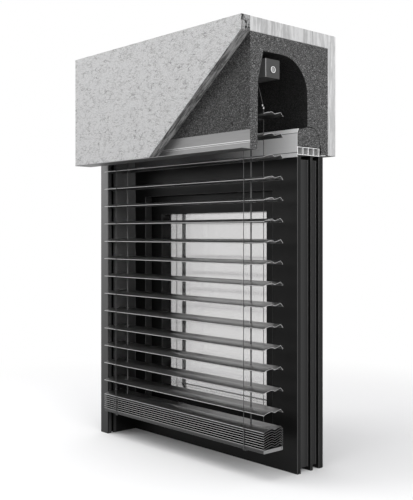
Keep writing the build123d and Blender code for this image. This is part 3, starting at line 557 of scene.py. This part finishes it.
# %% Render finishes
CUT_RUN = 0.409
LAYERS_LEVEL = (1, 0.8, 6)
LAYERS_ON_SLOPE = (3.2, 0.55, 0.6)


def masked_by_direction(tree, axis, low, high):
    """1 where the surface looks along an object axis, 0 where it doesn't."""
    direction = axis_part(tree, add_node(tree, "ShaderNodeTexCoord")["Normal"], axis)
    return ramped(tree, calculated(tree, "ABSOLUTE", direction), low, high)


def render_finish(name, low, high, light, dark, stretch, turn=(0, 0, 0)):
    """Felted render on the faces, layered render on the cuts that look along X."""
    material, tree, shader, place = new_finish(name, specular=0.25)
    felt = place_group(tree, felt_group, place, Pits_per_metre=330.0, Cracks_per_metre=62.0,
                       Light=grey(214), Dark=grey(170), Crack=grey(124))
    layers = place_group(tree, streak_group, stretched(tree, place, stretch, turn),
                         Streaks_per_metre=60.0, Light=grey(light), Dark=grey(dark))
    cut = masked_by_direction(tree, "X", low, high)
    pitted = bump(tree, felt["Height"], 0.5, 0.0012)
    feed(tree, shader, {"Base Color": blended(tree, cut, felt["Colour"], layers["Colour"]),
                        "Roughness": 0.9, "Normal": bump(tree, layers["Height"], 0.25, 0.0010, pitted)})
    return material


front_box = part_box("front_render_plate")
cut_slope = math.degrees(math.atan2(front_box[1].z - front_box[0].z, CUT_RUN))
front_render = render_finish("front render", 0.45, 0.66, 176, 26, LAYERS_ON_SLOPE, (0, -cut_slope, 0))
slab_render = render_finish("slab render", 0.6, 0.9, 218, 184, LAYERS_LEVEL)
# The rear plate's cut is a paler copy of the slab's: painted light.
rear_render_painted_paler = render_finish("rear render with its cut painted paler", 0.6, 0.9, 232, 200, LAYERS_LEVEL)
print("slope of the cut", round(cut_slope, 1), "degrees")

# %% [markdown]
# The outer frame has the same coat as the sash, but the floors of its outer grooves are paler, as
# painted light. They look along X and lie a little behind the ends of the ribs. These two facts pick
# them out without a piece of their own. All other sides that look along X and lie behind the ribs get
# the painted light too.

# %% Frame coat with painted light on the groove floors
RIB_ENDS = cut_end - 0.0025
GROOVE_FLOORS = cut_end - 0.0045

frame_coat_painted_groove_light, tree, shader, place = new_finish("frame coat with painted light in the grooves", specular=0.16)
coat = place_group(tree, grain_group, place, Grains_per_metre=1400.0, Light=grey(21),
                   Dark=grey(15), Smooth=0.38, Rough=0.50)
# Painted light: a paler grey on the groove floors.
groove_painted_light = calculated(tree, "MULTIPLY", masked_by_direction(tree, "X", 0.6, 0.9),
                       by_place(tree, place, "X", RIB_ENDS, GROOVE_FLOORS))
feed(tree, shader, {"Base Color": blended(tree, groove_painted_light, coat["Colour"], grey(54)),
                    "Roughness": coat["Roughness"],
                    "Normal": bump(tree, coat["Height"], 0.5, 0.00006)})
print("grooves are paler behind", round(GROOVE_FLOORS, 4))

# %% [markdown]
# Foam. A cut through bead foam is pale; its moulded front skin is painted darker and the cavity darker
# still, as painted shade. Three finishes would not meet at the edges. With one, the beads run through,
# and only the greys change: by the surface's direction for the cut, and by place for the front skin.

# %% Foam finish
BEADS_PER_METRE = 190.0
SKIN_ENDS = (-0.168, -0.172)


def beads(tree, place, bead_level, seam_level):
    """Outputs of the foam beads in two greys."""
    return place_group(tree, bead_group, place, Beads_per_metre=BEADS_PER_METRE,
                       Bead=grey(bead_level), Seam=grey(seam_level))


foam, tree, shader, place = new_finish("grey bead foam with painted shade", specular=0.3)
cut_beads = beads(tree, place, 134, 12)
# Darker greys for the cavity and the front skin: painted shade.
cavity_painted_shade = beads(tree, place, 46, 8)["Colour"]
front_skin_painted_shade = beads(tree, place, 102, 8)["Colour"]
skin_and_cavity_painted_shade = blended(tree, by_place(tree, place, "Y", *SKIN_ENDS), cavity_painted_shade, front_skin_painted_shade)
is_cut = masked_by_direction(tree, "X", 0.5, 0.9)
feed(tree, shader, {"Base Color": blended(tree, is_cut, skin_and_cavity_painted_shade, cut_beads["Colour"]),
                    "Roughness": 0.75, "Normal": bump(tree, cut_beads["Height"], 0.9, 0.003)})
print("bead size", round(1 / BEADS_PER_METRE, 4), "m")

# %% [markdown]
# Solid pieces. A CAD node comes as loose triangles with razor edges. Real edges are eased and catch
# a thin line of light, which is most of what the eye reads on a dark window. The edges could be
# rounded in the CAD model, but a bevel on a merged copy of the node is simpler to change.

# %% Helper: a finished copy of a node
def merged_mesh(node, name):
    """Copy of a node's mesh with its triangles joined into whole faces."""
    mesh = frame["nodes"][node].data.copy()
    mesh.name = name
    mesh.materials.clear()
    shape = bmesh.new()
    shape.from_mesh(mesh)
    bmesh.ops.remove_doubles(shape, verts=shape.verts, dist=1e-6)
    bmesh.ops.dissolve_limit(shape, angle_limit=math.radians(0.5), verts=shape.verts,
                             edges=shape.edges)
    shape.to_mesh(mesh)
    shape.free()
    return mesh


def smooth_by_angle(mesh, angle=32):
    """Smooth shading with sharp edges kept above an angle in degrees."""
    mesh.shade_smooth()
    mesh.set_sharp_from_angle(angle=math.radians(angle))


def body_of(node):
    """Name of the body that a node rides on."""
    return frame["nodes"][node]["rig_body"]


def new_piece(name, mesh, body, finishes=()):
    """Object for a mesh, with finishes if it has none yet, riding on a body."""
    for finish in finishes:
        mesh.materials.append(finish)
    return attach(linked(name, mesh), body)


def finished_copy(node, name, finish, edge=0.0005, seam_and_highlight_finish=None):
    """Merged copy of a node with eased edges, which rides where the node rides and replaces it."""
    mesh = merged_mesh(node, name)
    piece = new_piece(name, mesh, body_of(node), [finish, seam_and_highlight_finish] if seam_and_highlight_finish else [finish])
    smooth_by_angle(mesh)
    ease = piece.modifiers.new("eased edges", "BEVEL")
    ease.width = edge
    ease.segments = 2
    ease.limit_method = "ANGLE"
    ease.angle_limit = math.radians(40)
    ease.harden_normals = True
    # A second finish goes on the bevels' faces: a painted highlight on the window, a dark seam on the foam.
    if seam_and_highlight_finish:
        ease.material = 1
    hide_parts(node)
    return piece


print("nodes in the model", len(frame["nodes"]))

# %% [markdown]
# The lintel box is a core of bead foam between plates of render. The plates' edges are chipped. Chips
# could be cut one by one, but from here a wide bevel shows the same. The insert at the room side is
# a second block of foam, and a dark bevel draws the seam around it.

# %% Lintel box
finished_copy("front_render_plate", "front_render", front_render, 0.0012)
finished_copy("top_render_slab", "top_render", slab_render, 0.0012)
finished_copy("rear_render_plate", "rear_render_painted_paler", rear_render_painted_paler, 0.0012)
finished_copy("insulation_core", "foam_core", foam, 0.0015)
finished_copy("rear_insulation_insert", "foam_insert", foam, 0.0020, seam_dark)

# %% [markdown]
# Profiles close the lintel below: an aluminium angle in front, a silver lip behind the blind, and
# plastic sections over the window. Drawn profiles have nearly sharp corners, so the bevel is about
# a quarter of the plates'.

# %% Profiles of the lintel
finished_copy("plaster_stop_profile", "stop_profile", anodised, 0.0003)
finished_copy("rear_lip_profile", "lip_profile", silver, 0.0003)
finished_copy("window_connection_profile", "connection_profile", profile_plastic_painted_shade, 0.0003)
finished_copy("rear_closing_strip", "closing_strip", profile_plastic_painted_shade, 0.0002)

# %% [markdown]
# The reveal panel stands at the left and holds the guide rail, where the slats' pins slide in a black
# liner. The panel darkens towards its foot, a painted shade. Lamps could do that, but would change the
# slats too, so the shade is painted into its finish as a change of grey along Z.

# %% Reveal panel and guide rail
finished_copy("side_reveal_panel", "reveal_panel", panel_coat_painted_shade, 0.0006)
finished_copy("guide_rail", "rail_profile", rail_coat, 0.0003)
finished_copy("guide_rail_liner", "rail_liner", rubber, 0.0002)

# %% [markdown]
# The window is a dark frame with a sash that opens inwards. Its edges show as thin pale lines, a painted
# highlight. A mask in the coat could paint them, but the bevels' faces lie just there and take a second
# finish.

# %% Window
finished_copy("window_frame", "outer_frame", frame_coat_painted_groove_light, 0.0009, painted_edge_highlight)
finished_copy("sash_frame", "sash", anthracite, 0.0007, painted_edge_highlight)
finished_copy("glazing_beads", "beads", anthracite, 0.0004)
finished_copy("frame_gasket", "gasket", rubber, 0.0003)
finished_copy("hinge_frame_leaves", "hinge_leaves", steel, 0.0003)
finished_copy("sash_fittings", "fittings", steel, 0.0003)
finished_copy("window_handle", "handle", steel, 0.0020)
window_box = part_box("window_frame")
print("window width", round(window_box[1].x - window_box[0].x, 3))

# %% [markdown]
# Insulating glass. The CAD node holds panes and spacer bars, which need two finishes. Their faces
# could be picked by place, but the depth of each loose part is safer: only bars are deep.

# %% Panes and spacer bars
PANE_LIMIT = 0.010


def loose_parts(shape):
    """Lists of faces, one for each part of a bmesh that hangs together."""
    unseen = set(shape.faces)
    parts = []
    while unseen:
        part, reached = [], {unseen.pop()}
        while reached:
            face = reached.pop()
            part.append(face)
            near = {other for edge in face.edges for other in edge.link_faces} & unseen
            unseen -= near
            reached |= near
        parts.append(part)
    return parts


glass_mesh = merged_mesh("insulating_glass_unit", "glass_unit")
shape = bmesh.new()
shape.from_mesh(glass_mesh)
for part in loose_parts(shape):
    depths = [vertex.co.y for face in part for vertex in face.verts]
    if max(depths) - min(depths) > PANE_LIMIT:
        for face in part:
            face.material_index = 1
shape.to_mesh(glass_mesh)
shape.free()
glass_unit = new_piece("glass_unit", glass_mesh, body_of("insulating_glass_unit"),
                       [glass, spacer_alloy])
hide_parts("insulating_glass_unit")
print("faces of bars", sum(face.material_index for face in glass_mesh.polygons))

# %% [markdown]
# One slat. It is a thin rolled sheet: an arch in front, a step in the middle, a crest behind and a
# rolled bead along each edge. A flat strip could be bent into shape by hand, but points keep every
# bend exact. They follow the middle of the sheet as (y, z) from its axis, front edge first.

# %% Cross-section of a slat
SLAT_WIDTH = 0.080
SLAT_SHEET = 0.0010
EDGE_ROLL = 0.0012
RIDGE = (-0.005, 0.0078)
ARCH_SAG = 0.0054
VALLEY = (0.0055, 0.0028)
CREST = (0.030, 0.0095)
SLOT_WIDTH = 0.016
SLOT_LENGTH = 0.014
ROLL_TURN = 240
ROLL_STEPS = 9
ARCH_STEPS = 14


def arc_through(first, middle, last, steps):
    """Points on the arc through three points, both ends included."""
    ax, ay, bx, by, cx, cy = *first, *middle, *last
    d = 2 * (ax * (by - cy) + bx * (cy - ay) + cx * (ay - by))
    a2, b2, c2 = ax * ax + ay * ay, bx * bx + by * by, cx * cx + cy * cy
    centre = ((a2 * (by - cy) + b2 * (cy - ay) + c2 * (ay - by)) / d,
              (a2 * (cx - bx) + b2 * (ax - cx) + c2 * (bx - ax)) / d)
    radius = math.dist(centre, first)
    start = math.atan2(ay - centre[1], ax - centre[0])
    end = math.atan2(cy - centre[1], cx - centre[0])
    turns = [start + (end - start) * i / steps for i in range(steps + 1)]
    return [(centre[0] + radius * math.cos(a), centre[1] + radius * math.sin(a)) for a in turns]


def rolled_bead(middle, start):
    """Middle line of a rolled edge, from a start angle in degrees."""
    roll = EDGE_ROLL - SLAT_SHEET / 2
    turns = [math.radians(start - ROLL_TURN * i / ROLL_STEPS) for i in range(ROLL_STEPS + 1)]
    return [(middle + roll * math.cos(a), roll * math.sin(a)) for a in turns]


edge = SLAT_WIDTH / 2 - EDGE_ROLL
half_slot = SLOT_WIDTH / 2
front_bead = rolled_bead(-edge, 330)
arch = arc_through(front_bead[-1], (-(edge - RIDGE[0]) / 2, ARCH_SAG), RIDGE, ARCH_STEPS)
rise_to_crest = (CREST[1] - VALLEY[1]) / (CREST[0] - VALLEY[0])
slot_edge = (half_slot, VALLEY[1] + rise_to_crest * (half_slot - VALLEY[0]))
slat_section = front_bead + arch[1:] + [VALLEY, slot_edge, CREST] + rolled_bead(edge, 90)
print("points in the cross-section", len(slat_section))

# %% [markdown]
# The section is laid out at a few stations along the slat. The tapes pass through slots. A Boolean
# could cut them, but leaving out faces between two stations is exact and keeps the mesh light. A
# Solidify modifier then gives the sheet its thickness.

# %% Sheet of one slat, about the blind's axis at height 0
def mesh_of(shape, name):
    """Plain mesh from a bmesh, which is freed."""
    mesh = bpy.data.meshes.new(name)
    shape.to_mesh(mesh)
    shape.free()
    return mesh


def open_sheet(name, ends, section, half, gaps):
    """Sheet of a section of (y, z) along X, left open from -half to half at each gap (low, high)."""
    stations = sorted(ends + [x for gap in gaps for x in gap])
    shape = bmesh.new()
    rows = [[shape.verts.new((x, axis_y + y, z)) for y, z in section] for x in stations]
    for near, far in zip(rows, rows[1:]):
        along = (near[0].co.x + far[0].co.x) / 2
        in_gap = any(low < along < high for low, high in gaps)
        for k in range(len(section) - 1):
            across = (section[k][0] + section[k + 1][0]) / 2
            if not (in_gap and abs(across) < half):
                shape.faces.new((near[k], far[k], far[k + 1], near[k + 1]))
    bmesh.ops.recalc_face_normals(shape, faces=shape.faces)
    return mesh_of(shape, name)


def plain_mesh(holder, name):
    """Mesh of an object with its modifiers worked in; the object itself goes."""
    bpy.context.view_layer.update()
    ready = holder.evaluated_get(bpy.context.evaluated_depsgraph_get())
    mesh = bpy.data.meshes.new_from_object(ready)
    mesh.name = name
    bpy.data.objects.remove(holder)
    return mesh


def thickened(piece, thickness):
    """Gives a sheet its thickness, half to each side."""
    thick = piece.modifiers.new("sheet thickness", "SOLIDIFY")
    thick.thickness = thickness
    thick.offset = 0


slots = [(x - SLOT_LENGTH / 2, x + SLOT_LENGTH / 2) for x in tape_x]
mesh = open_sheet("slat_sheet", [slat_left, slat_right], slat_section, half_slot, slots)
sheet = linked("slat_sheet", mesh)
thickened(sheet, SLAT_SHEET)
solid_sheet = plain_mesh(sheet, "solid_sheet")
print("faces of a slat", len(solid_sheet.polygons))

# %% [markdown]
# Rows of slats. The free slats each turn on their own, and eight more lie on the bottom rail as one
# pack. Copies could be made and moved one by one. One Geometry Nodes tree makes both: it instances
# the sheet on a line of points, realises the copies and bares the metal at the right, cut ends.

# %% Geometry Nodes tree: a row of slats
def realised(tree, copies, material):
    """Instances made real, with a material."""
    real = add_node(tree, "GeometryNodeRealizeInstances", {0: copies})[0]
    return add_node(tree, "GeometryNodeSetMaterial", {"Geometry": real, "Material": material})[0]


row_tree, given = group_with(
    "row of slats",
    {"Sheet": "Geometry", "Slats": "Int", "Lowest height": "Float", "Rise": "Float",
     "Paint": "Material", "Cut end": "Material"},
    {"Slats": "Geometry"}, "GeometryNodeTree")
start = add_node(row_tree, "ShaderNodeCombineXYZ", {"Z": given["Lowest height"]})[0]
step = add_node(row_tree, "ShaderNodeCombineXYZ", {"Z": given["Rise"]})[0]
row = add_node(row_tree, "GeometryNodeMeshLine", {
    "Count": given["Slats"], "Start Location": start, "Offset": step})[0]
copies = add_node(row_tree, "GeometryNodeInstanceOnPoints", {
    "Points": row, "Instance": given["Sheet"]})[0]
painted = realised(row_tree, copies, given["Paint"])
normal = add_node(row_tree, "GeometryNodeInputNormal")[0]
is_end = calculated(row_tree, "GREATER_THAN", axis_part(row_tree, normal, "X"), 0.9)
bared = add_node(row_tree, "GeometryNodeSetMaterial", {
    "Geometry": painted, "Selection": is_end, "Material": given["Cut end"]})[0]
add_node(row_tree, "NodeGroupOutput", {0: bared})
print("tree", row_tree.name, "with", len(row_tree.nodes), "nodes")

# %% [markdown]
# The free slats turn with the shaft, each about its own axis. One mesh for all could not do that, so
# the tree runs once for each slat, at the height of its axis, and the slat rides on its own body. A
# modifier on a passing holder runs the tree. Its inputs go by identifier and are set before the
# holder is first evaluated.

# %% Free slats
def made_by_tree(name, tree, values, base=None):
    """Plain mesh that a Geometry Nodes tree makes from values by input name, and a base if given."""
    holder = linked(name, base.copy() if base else bpy.data.meshes.new(name))
    modifier = holder.modifiers.new(tree.name, "NODES")
    modifier.node_group = tree
    for socket in tree.interface.items_tree:
        if socket.in_out == "INPUT" and socket.name in values:
            modifier[socket.identifier] = values[socket.name]
    return plain_mesh(holder, name)


for i, height in enumerate(slat_heights):
    name = f"free_slat_{i + 1:02d}"
    mesh = made_by_tree(name, row_tree, {
        "Slats": 1, "Lowest height": height, "Rise": 0.0, "Paint": slat_paint,
        "Cut end": cut_aluminium}, solid_sheet)
    smooth_by_angle(mesh, 40)
    slat = new_piece(name, mesh, f"tilting_slat_{i + 1:02d}")
    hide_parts(f"slat_{i + 1:02d}")
print("free slats", slat_count)

# %% [markdown]
# The pack. While the blind isn't let down all the way, its last slats lie on the bottom rail, one in
# the other. They move as one, so the tree runs once for all. They take a darker paint, painted shade
# between them. Only the top one gets the free slats' paint: the copies come in order, so the last
# eighth of the faces is the top slat.

# %% Slats lying on the bottom rail
STACK_COUNT = 8
STACK_RISE = 0.00685

stack_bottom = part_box("stacked_slats")[0].z + EDGE_ROLL
mesh = made_by_tree("slat_pack", row_tree, {
    "Slats": STACK_COUNT, "Lowest height": stack_bottom, "Rise": STACK_RISE, "Paint": pack_paint_painted_shade,
    "Cut end": pack_cut_painted_shade}, solid_sheet)
smooth_by_angle(mesh, 40)
mesh.materials.append(slat_paint)
faces_of_slat = len(mesh.polygons) // STACK_COUNT
for face in list(mesh.polygons)[-faces_of_slat:]:
    if mesh.materials[face.material_index] == pack_paint_painted_shade:
        face.material_index = len(mesh.materials) - 1
slat_pack = new_piece("slat_pack", mesh, "package")
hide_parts("stacked_slats")
print("pack up to", round(stack_bottom + (STACK_COUNT - 1) * STACK_RISE, 4))

# %% [markdown]
# The bottom rail gives the blind its weight and keeps the tapes taut. It could be drawn out like the
# plug below, but its shape is right in the model, so it is a finished copy.

# %% Bottom rail
finished_copy("bottom_rail", "base_rail", bottom_rail_coat, 0.0004)
base_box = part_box("bottom_rail")
print("bottom rail", round(base_box[1].x - base_box[0].x, 3), "m long")

# %% [markdown]
# A plastic plug closes the hollow end of the bottom rail. A bevelled cube would do, but the helper
# that draws a section out along X serves the seal further down too. Four chamfered corners show
# the light line round the plug's face.

# %% End plug of the bottom rail
PLUG_HALF_WIDTH = 0.0340
PLUG_HALF_HEIGHT = 0.0032
PLUG_CORNER = 0.0012
PLUG_DEPTH = 0.009
PLUG_UNDER_TOP = 0.005
PLUG_SET_BACK = 0.0002


def skin(shape, rings):
    """Adds a closed solid to a bmesh, skinned over rings of points."""
    rings = [[shape.verts.new(point) for point in ring] for ring in rings]
    for near, far in zip(rings, rings[1:]):
        for k in range(len(near)):
            after = (k + 1) % len(near)
            shape.faces.new((near[k], near[after], far[after], far[k]))
    shape.faces.new(list(reversed(rings[0])))
    shape.faces.new(rings[-1])


def extruded(name, section, middle, left, right):
    """Closed bar along X, with a section of (y, z) about a middle (y, z)."""
    shape = bmesh.new()
    skin(shape, [[(x, middle[0] + y, middle[1] + z) for y, z in section] for x in (left, right)])
    return mesh_of(shape, name)


plug_section = [(PLUG_HALF_WIDTH, PLUG_HALF_HEIGHT - PLUG_CORNER),
                (PLUG_HALF_WIDTH - PLUG_CORNER, PLUG_HALF_HEIGHT)]
plug_section += [(-y, z) for y, z in reversed(plug_section)]
plug_section += [(y, -z) for y, z in reversed(plug_section)]
plug_mesh = extruded("rail_end_plug", plug_section, (axis_y, base_box[1].z - PLUG_UNDER_TOP),
                     base_box[1].x - PLUG_DEPTH, base_box[1].x - PLUG_SET_BACK)
new_piece("rail_end_plug", plug_mesh, body_of("bottom_rail"), [plug_plastic])
print("plug width", 2 * PLUG_HALF_WIDTH)

# %% [markdown]
# Guide pins. A pin in the left end of a slat slides in the guide rail and keeps the blind from
# swinging. Turned here they would look the same, so they too are copies of the model's solids.

# %% Guide pins
finished_copy("stack_guide_pins", "pack_pins", pin_plastic, 0.0004)
for i in range(slat_count - 1):
    finished_copy(f"guide_pin_{i + 1:02d}", f"slat_pin_{i + 1:02d}", pin_plastic, 0.0004)
print("pins of free slats", slat_count - 1)

# %% [markdown]
# The head rail is a channel that hangs from two brackets. It holds the motor, the shaft and the blocks
# in which the spools turn, and a plastic cap closes its end. All of it is in the model, so it
# only takes its finishes and eased edges.

# %% Head rail and what it holds
finished_copy("head_rail", "head_channel", head_rail_coat, 0.0003)
finished_copy("head_rail_end_caps", "rail_caps", cap_plastic_painted_highlights, 0.0005)
finished_copy("head_rail_brackets", "brackets", steel, 0.0005)
finished_copy("bearing_blocks", "spool_blocks", liner_plastic, 0.0005)
finished_copy("drive_motor", "motor", rail_coat, 0.0010)
finished_copy("tilt_shaft", "shaft_and_spools", steel, 0.0003)
print("head rail from", round(rail_box[0].z, 4), "to", round(rail_box[1].z, 4))

# %% [markdown]
# Under the head rail a thin strip closes the slot of the channel, clicked between its lips. A whole
# sheet would cut through the strings, so it is laid out like the slat, with faces left out where a
# ladder and its tape pass.

# %% Cover strip of the head rail
STRIP_HALF = 0.0190
STRIP_OPENING = 0.0150
STRIP_SHEET = 0.0008
STRIP_EDGE = 0.0002
STRIP_RAISED = 0.0007
STRIP_SHORT = (0.002, 0.001)
OPENING_ROOM = 0.012

openings = [(min(pair) - OPENING_ROOM, max(pair) + OPENING_ROOM) for pair in zip(ladder_x, tape_x)]
strip_ends = [rail_box[0].x + STRIP_SHORT[0], rail_box[1].x - STRIP_SHORT[1]]
strip_section = [(y, rail_box[0].z + STRIP_RAISED)
                 for y in (-STRIP_HALF, -STRIP_OPENING, STRIP_OPENING, STRIP_HALF)]
strip_mesh = open_sheet("rail_cover_strip", strip_ends, strip_section, STRIP_OPENING, openings)
cover = new_piece("rail_cover_strip", strip_mesh, "surround", [cover_coat])
thickened(cover, STRIP_SHEET)
cover_edge = cover.modifiers.new("eased edges", "BEVEL")
cover_edge.width = STRIP_EDGE
print("openings in the strip", len(openings))

# %% [markdown]
# A soft rubber seal closes the joint between the foam and the closing strip at the room side. It
# could be a swept curve, but the real one is extruded too, so a D-shaped section is drawn out.

# %% Closing seal
SEAL_PLACE = (0.1223, 0.9545)
SEAL_HALF = 0.0030
SEAL_TURNS = 10
SEAL_FOOT = (0.55, 0.6)
SEAL_SHORT = 0.001

seal_turns = [math.pi * i / SEAL_TURNS for i in range(SEAL_TURNS + 1)]
seal_section = [(SEAL_HALF * math.cos(a), SEAL_HALF * math.sin(a)) for a in seal_turns]
seal_section += [(side * SEAL_HALF * SEAL_FOOT[0], -SEAL_HALF * SEAL_FOOT[1]) for side in (-1, 1)]
core_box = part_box("insulation_core")
seal_mesh = extruded("closing_seal", seal_section, SEAL_PLACE, core_box[0].x + SEAL_SHORT,
                     core_box[1].x)
smooth_by_angle(seal_mesh, 40)
new_piece("closing_seal", seal_mesh, "surround", [rubber])
print("seal at", SEAL_PLACE)

# %% [markdown]
# Ladder strings. Two ladders carry the slats. Each has a string in front and one behind, and under
# every slat a pair of thin rungs. Curves could be drawn one by one, but their sizes would be spread
# over many objects. Strings and rungs both come as a pair at each ladder, so one tree makes them: it
# sweeps a ring along a straight line and repeats it at the four places.

# %% Geometry Nodes tree: a pair of round strings at each ladder
STRING_SIDES = 8

string_tree, given = group_with(
    "round strings",
    {"First place": "Vector", "To next ladder": "Vector", "To next string": "Vector",
     "Start": "Vector", "End": "Vector", "Radius": "Float", "Textile": "Material"},
    {"Strings": "Geometry"}, "GeometryNodeTree")
ladders = add_node(string_tree, "GeometryNodeMeshLine", {
    "Count": 2, "Start Location": given["First place"], "Offset": given["To next ladder"]})[0]
pair = add_node(string_tree, "GeometryNodeMeshLine", {"Count": 2, "Offset": given["To next string"]})[0]
pairs = add_node(string_tree, "GeometryNodeInstanceOnPoints", {"Points": ladders, "Instance": pair})[0]
places = add_node(string_tree, "GeometryNodeRealizeInstances", {0: pairs})[0]
line = add_node(string_tree, "GeometryNodeCurvePrimitiveLine", {
    "Start": given["Start"], "End": given["End"]})[0]
ring = add_node(string_tree, "GeometryNodeCurvePrimitiveCircle", {
    "Resolution": STRING_SIDES, "Radius": given["Radius"]})[0]
tube = add_node(string_tree, "GeometryNodeCurveToMesh", {
    "Curve": line, "Profile Curve": ring, "Fill Caps": True})[0]
strings = add_node(string_tree, "GeometryNodeInstanceOnPoints", {"Points": places, "Instance": tube})[0]
add_node(string_tree, "NodeGroupOutput", {0: realised(string_tree, strings, given["Textile"])})


def four_strings(name, body, first, beside, start, end, radius):
    """Piece of four round strings: a pair, beside each other, at each ladder."""
    mesh = made_by_tree(name, string_tree, {
        "First place": first, "To next ladder": (ladder_x[1] - ladder_x[0], 0, 0),
        "To next string": beside, "Start": start, "End": end, "Radius": radius,
        "Textile": cord_textile})
    smooth_by_angle(mesh, 60)
    return new_piece(name, mesh, body)


print("tree", string_tree.name, "with", len(string_tree.nodes), "nodes")

# %% [markdown]
# Upright strings keep the slats at their steps. Bones could bend them, but a stretch between two
# slats stays straight, so it rides with the upper one and draws in towards the axis as the slats
# turn. It keeps two thirds of its distance, so it is clear of the slats at the end of their turn. On
# the way there their edges run a little into it.

# %% Strings between the slats
STRING_SIDE = 0.0413


def draws_in(piece):
    """Gives a piece a mesh of its own."""
    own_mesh(piece)


stretches = [(f"{i + 1:02d}", low, high, f"carrier_{i + 1:02d}")
             for i, (high, low) in enumerate(zip(slat_heights, slat_heights[1:]))]
stretches.append(("low", cord_box[0].z, slat_heights[-1], "package"))
for label, low, high, body in stretches:
    piece = four_strings(f"ladder_strings_{label}", body, (ladder_x[0], axis_y - STRING_SIDE, low),
                         (0, 2 * STRING_SIDE, 0), (0, 0, 0), (0, 0, high - low), CORD_RADIUS)
    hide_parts("ladder_cords")
    draws_in(piece)
print("stretches of string", len(stretches))

# %% [markdown]
# Over the first slat the strings run in towards the shaft. The straight tubes of the tree would kink
# there, so each string is a smooth spline along a few points, given a round section.

# %% Strings above the first slat
KNEE_RISE = 0.036
KNEE_EASE = 0.018
TOP_SPREAD = 0.012

knee = slat_heights[0] + KNEE_RISE
curve = bpy.data.curves.new("upper_strings", "CURVE")
curve.dimensions = "3D"
curve.bevel_depth = CORD_RADIUS
curve.bevel_resolution = 2
curve.use_fill_caps = True
route = [(STRING_SIDE, slat_heights[0]), (STRING_SIDE, knee - KNEE_EASE), (STRING_SIDE, knee),
         (TOP_SPREAD, cord_box[1].z)]
for x, side in [(x, side) for x in ladder_x for side in (-1, 1)]:
    spline = curve.splines.new("NURBS")
    spline.points.add(len(route) - 1)
    for point, (y, z) in zip(spline.points, route):
        point.co = (x, axis_y + side * y, z, 1)
    spline.order_u = 3
    spline.use_endpoint_u = True
mesh = plain_mesh(linked("upper_strings", curve), "ladder_strings_top")
upper = new_piece("ladder_strings_top", mesh, "surround", [cord_textile])
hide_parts("ladder_cords")
draws_in(upper)
print("upper strings from", round(slat_heights[0], 4), "to", round(cord_box[1].z, 4))

# %% [markdown]
# Rungs. Under every free slat thin cross strings join the front and the rear string, two to a ladder,
# and the slat lies on them. The same tree makes them, with a line that runs across. One mesh for
# all could not turn with the slats, so each set of four rides on its slat's body.

# %% Rungs under the slats
RUNG_RADIUS = 0.0005
RUNG_DROP = EDGE_ROLL + RUNG_RADIUS
RUNG_HALF = 0.0401
RUNGS_APART = 0.004

for i, height in enumerate(slat_heights):
    four_strings(f"rungs_{i + 1:02d}", f"tilting_slat_{i + 1:02d}",
                 (ladder_x[0] - RUNGS_APART / 2, axis_y, height - RUNG_DROP), (RUNGS_APART, 0, 0),
                 (0, -RUNG_HALF, 0), (0, RUNG_HALF, 0), RUNG_RADIUS)
print("rungs", 4 * slat_count)

# %% [markdown]
# String clips. Above the first slat each string carries two small white barrels. Cylinders would look
# like plain beads, so an outline with a waist is spun about the string.

# %% String clips
CLIP_OUTLINE = [(0.0011, -1.0), (0.0019, -0.92), (0.0021, -0.5), (0.0016, -0.1), (0.0016, 0.1),
                (0.0021, 0.5), (0.0019, 0.92), (0.0011, 1.0)]
CLIP_SIDES = 16
CLIPS = [(0.0411, 0.0329, 0.0034), (0.0363, 0.0400, 0.0026)]


def add_barrel(shape, x, y, z, half):
    """Adds one barrel about an upright axis to a bmesh."""
    turns = [2 * math.pi * k / CLIP_SIDES for k in range(CLIP_SIDES)]
    skin(shape, [[(x + radius * math.cos(a), y + radius * math.sin(a), z + half * level)
                  for a in turns] for radius, level in CLIP_OUTLINE])


shape = bmesh.new()
for x in ladder_x:
    for side in (-1, 1):
        for across, rise, half in CLIPS:
            add_barrel(shape, x, axis_y + side * across, slat_heights[0] + rise, half)
clip_mesh = mesh_of(shape, "string_clips")
smooth_by_angle(clip_mesh, 50)
clips = new_piece("string_clips", clip_mesh, "surround", [clip_plastic])
draws_in(clips)
print("clips", 4 * len(CLIPS))

# %% [markdown]
# Lift tapes. Two flat woven tapes run from the spools through slots in every slat to the bottom
# rail. When the blind rises they wind up. Wound turns would never show and are not modelled. Each
# tape is narrower than the room that the model keeps for it.

# %% Lift tapes
WOVEN_SHARE = 0.72

mesh = merged_mesh("lift_tapes", "lift_tape_pair")
for vertex in mesh.vertices:
    middle = min(tape_x, key=lambda x: abs(x - vertex.co.x))
    vertex.co.x = middle + (vertex.co.x - middle) * WOVEN_SHARE
tapes = new_piece("lift_tape_pair", mesh, "surround", [tape_textile])
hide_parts("lift_tapes")
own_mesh(tapes)
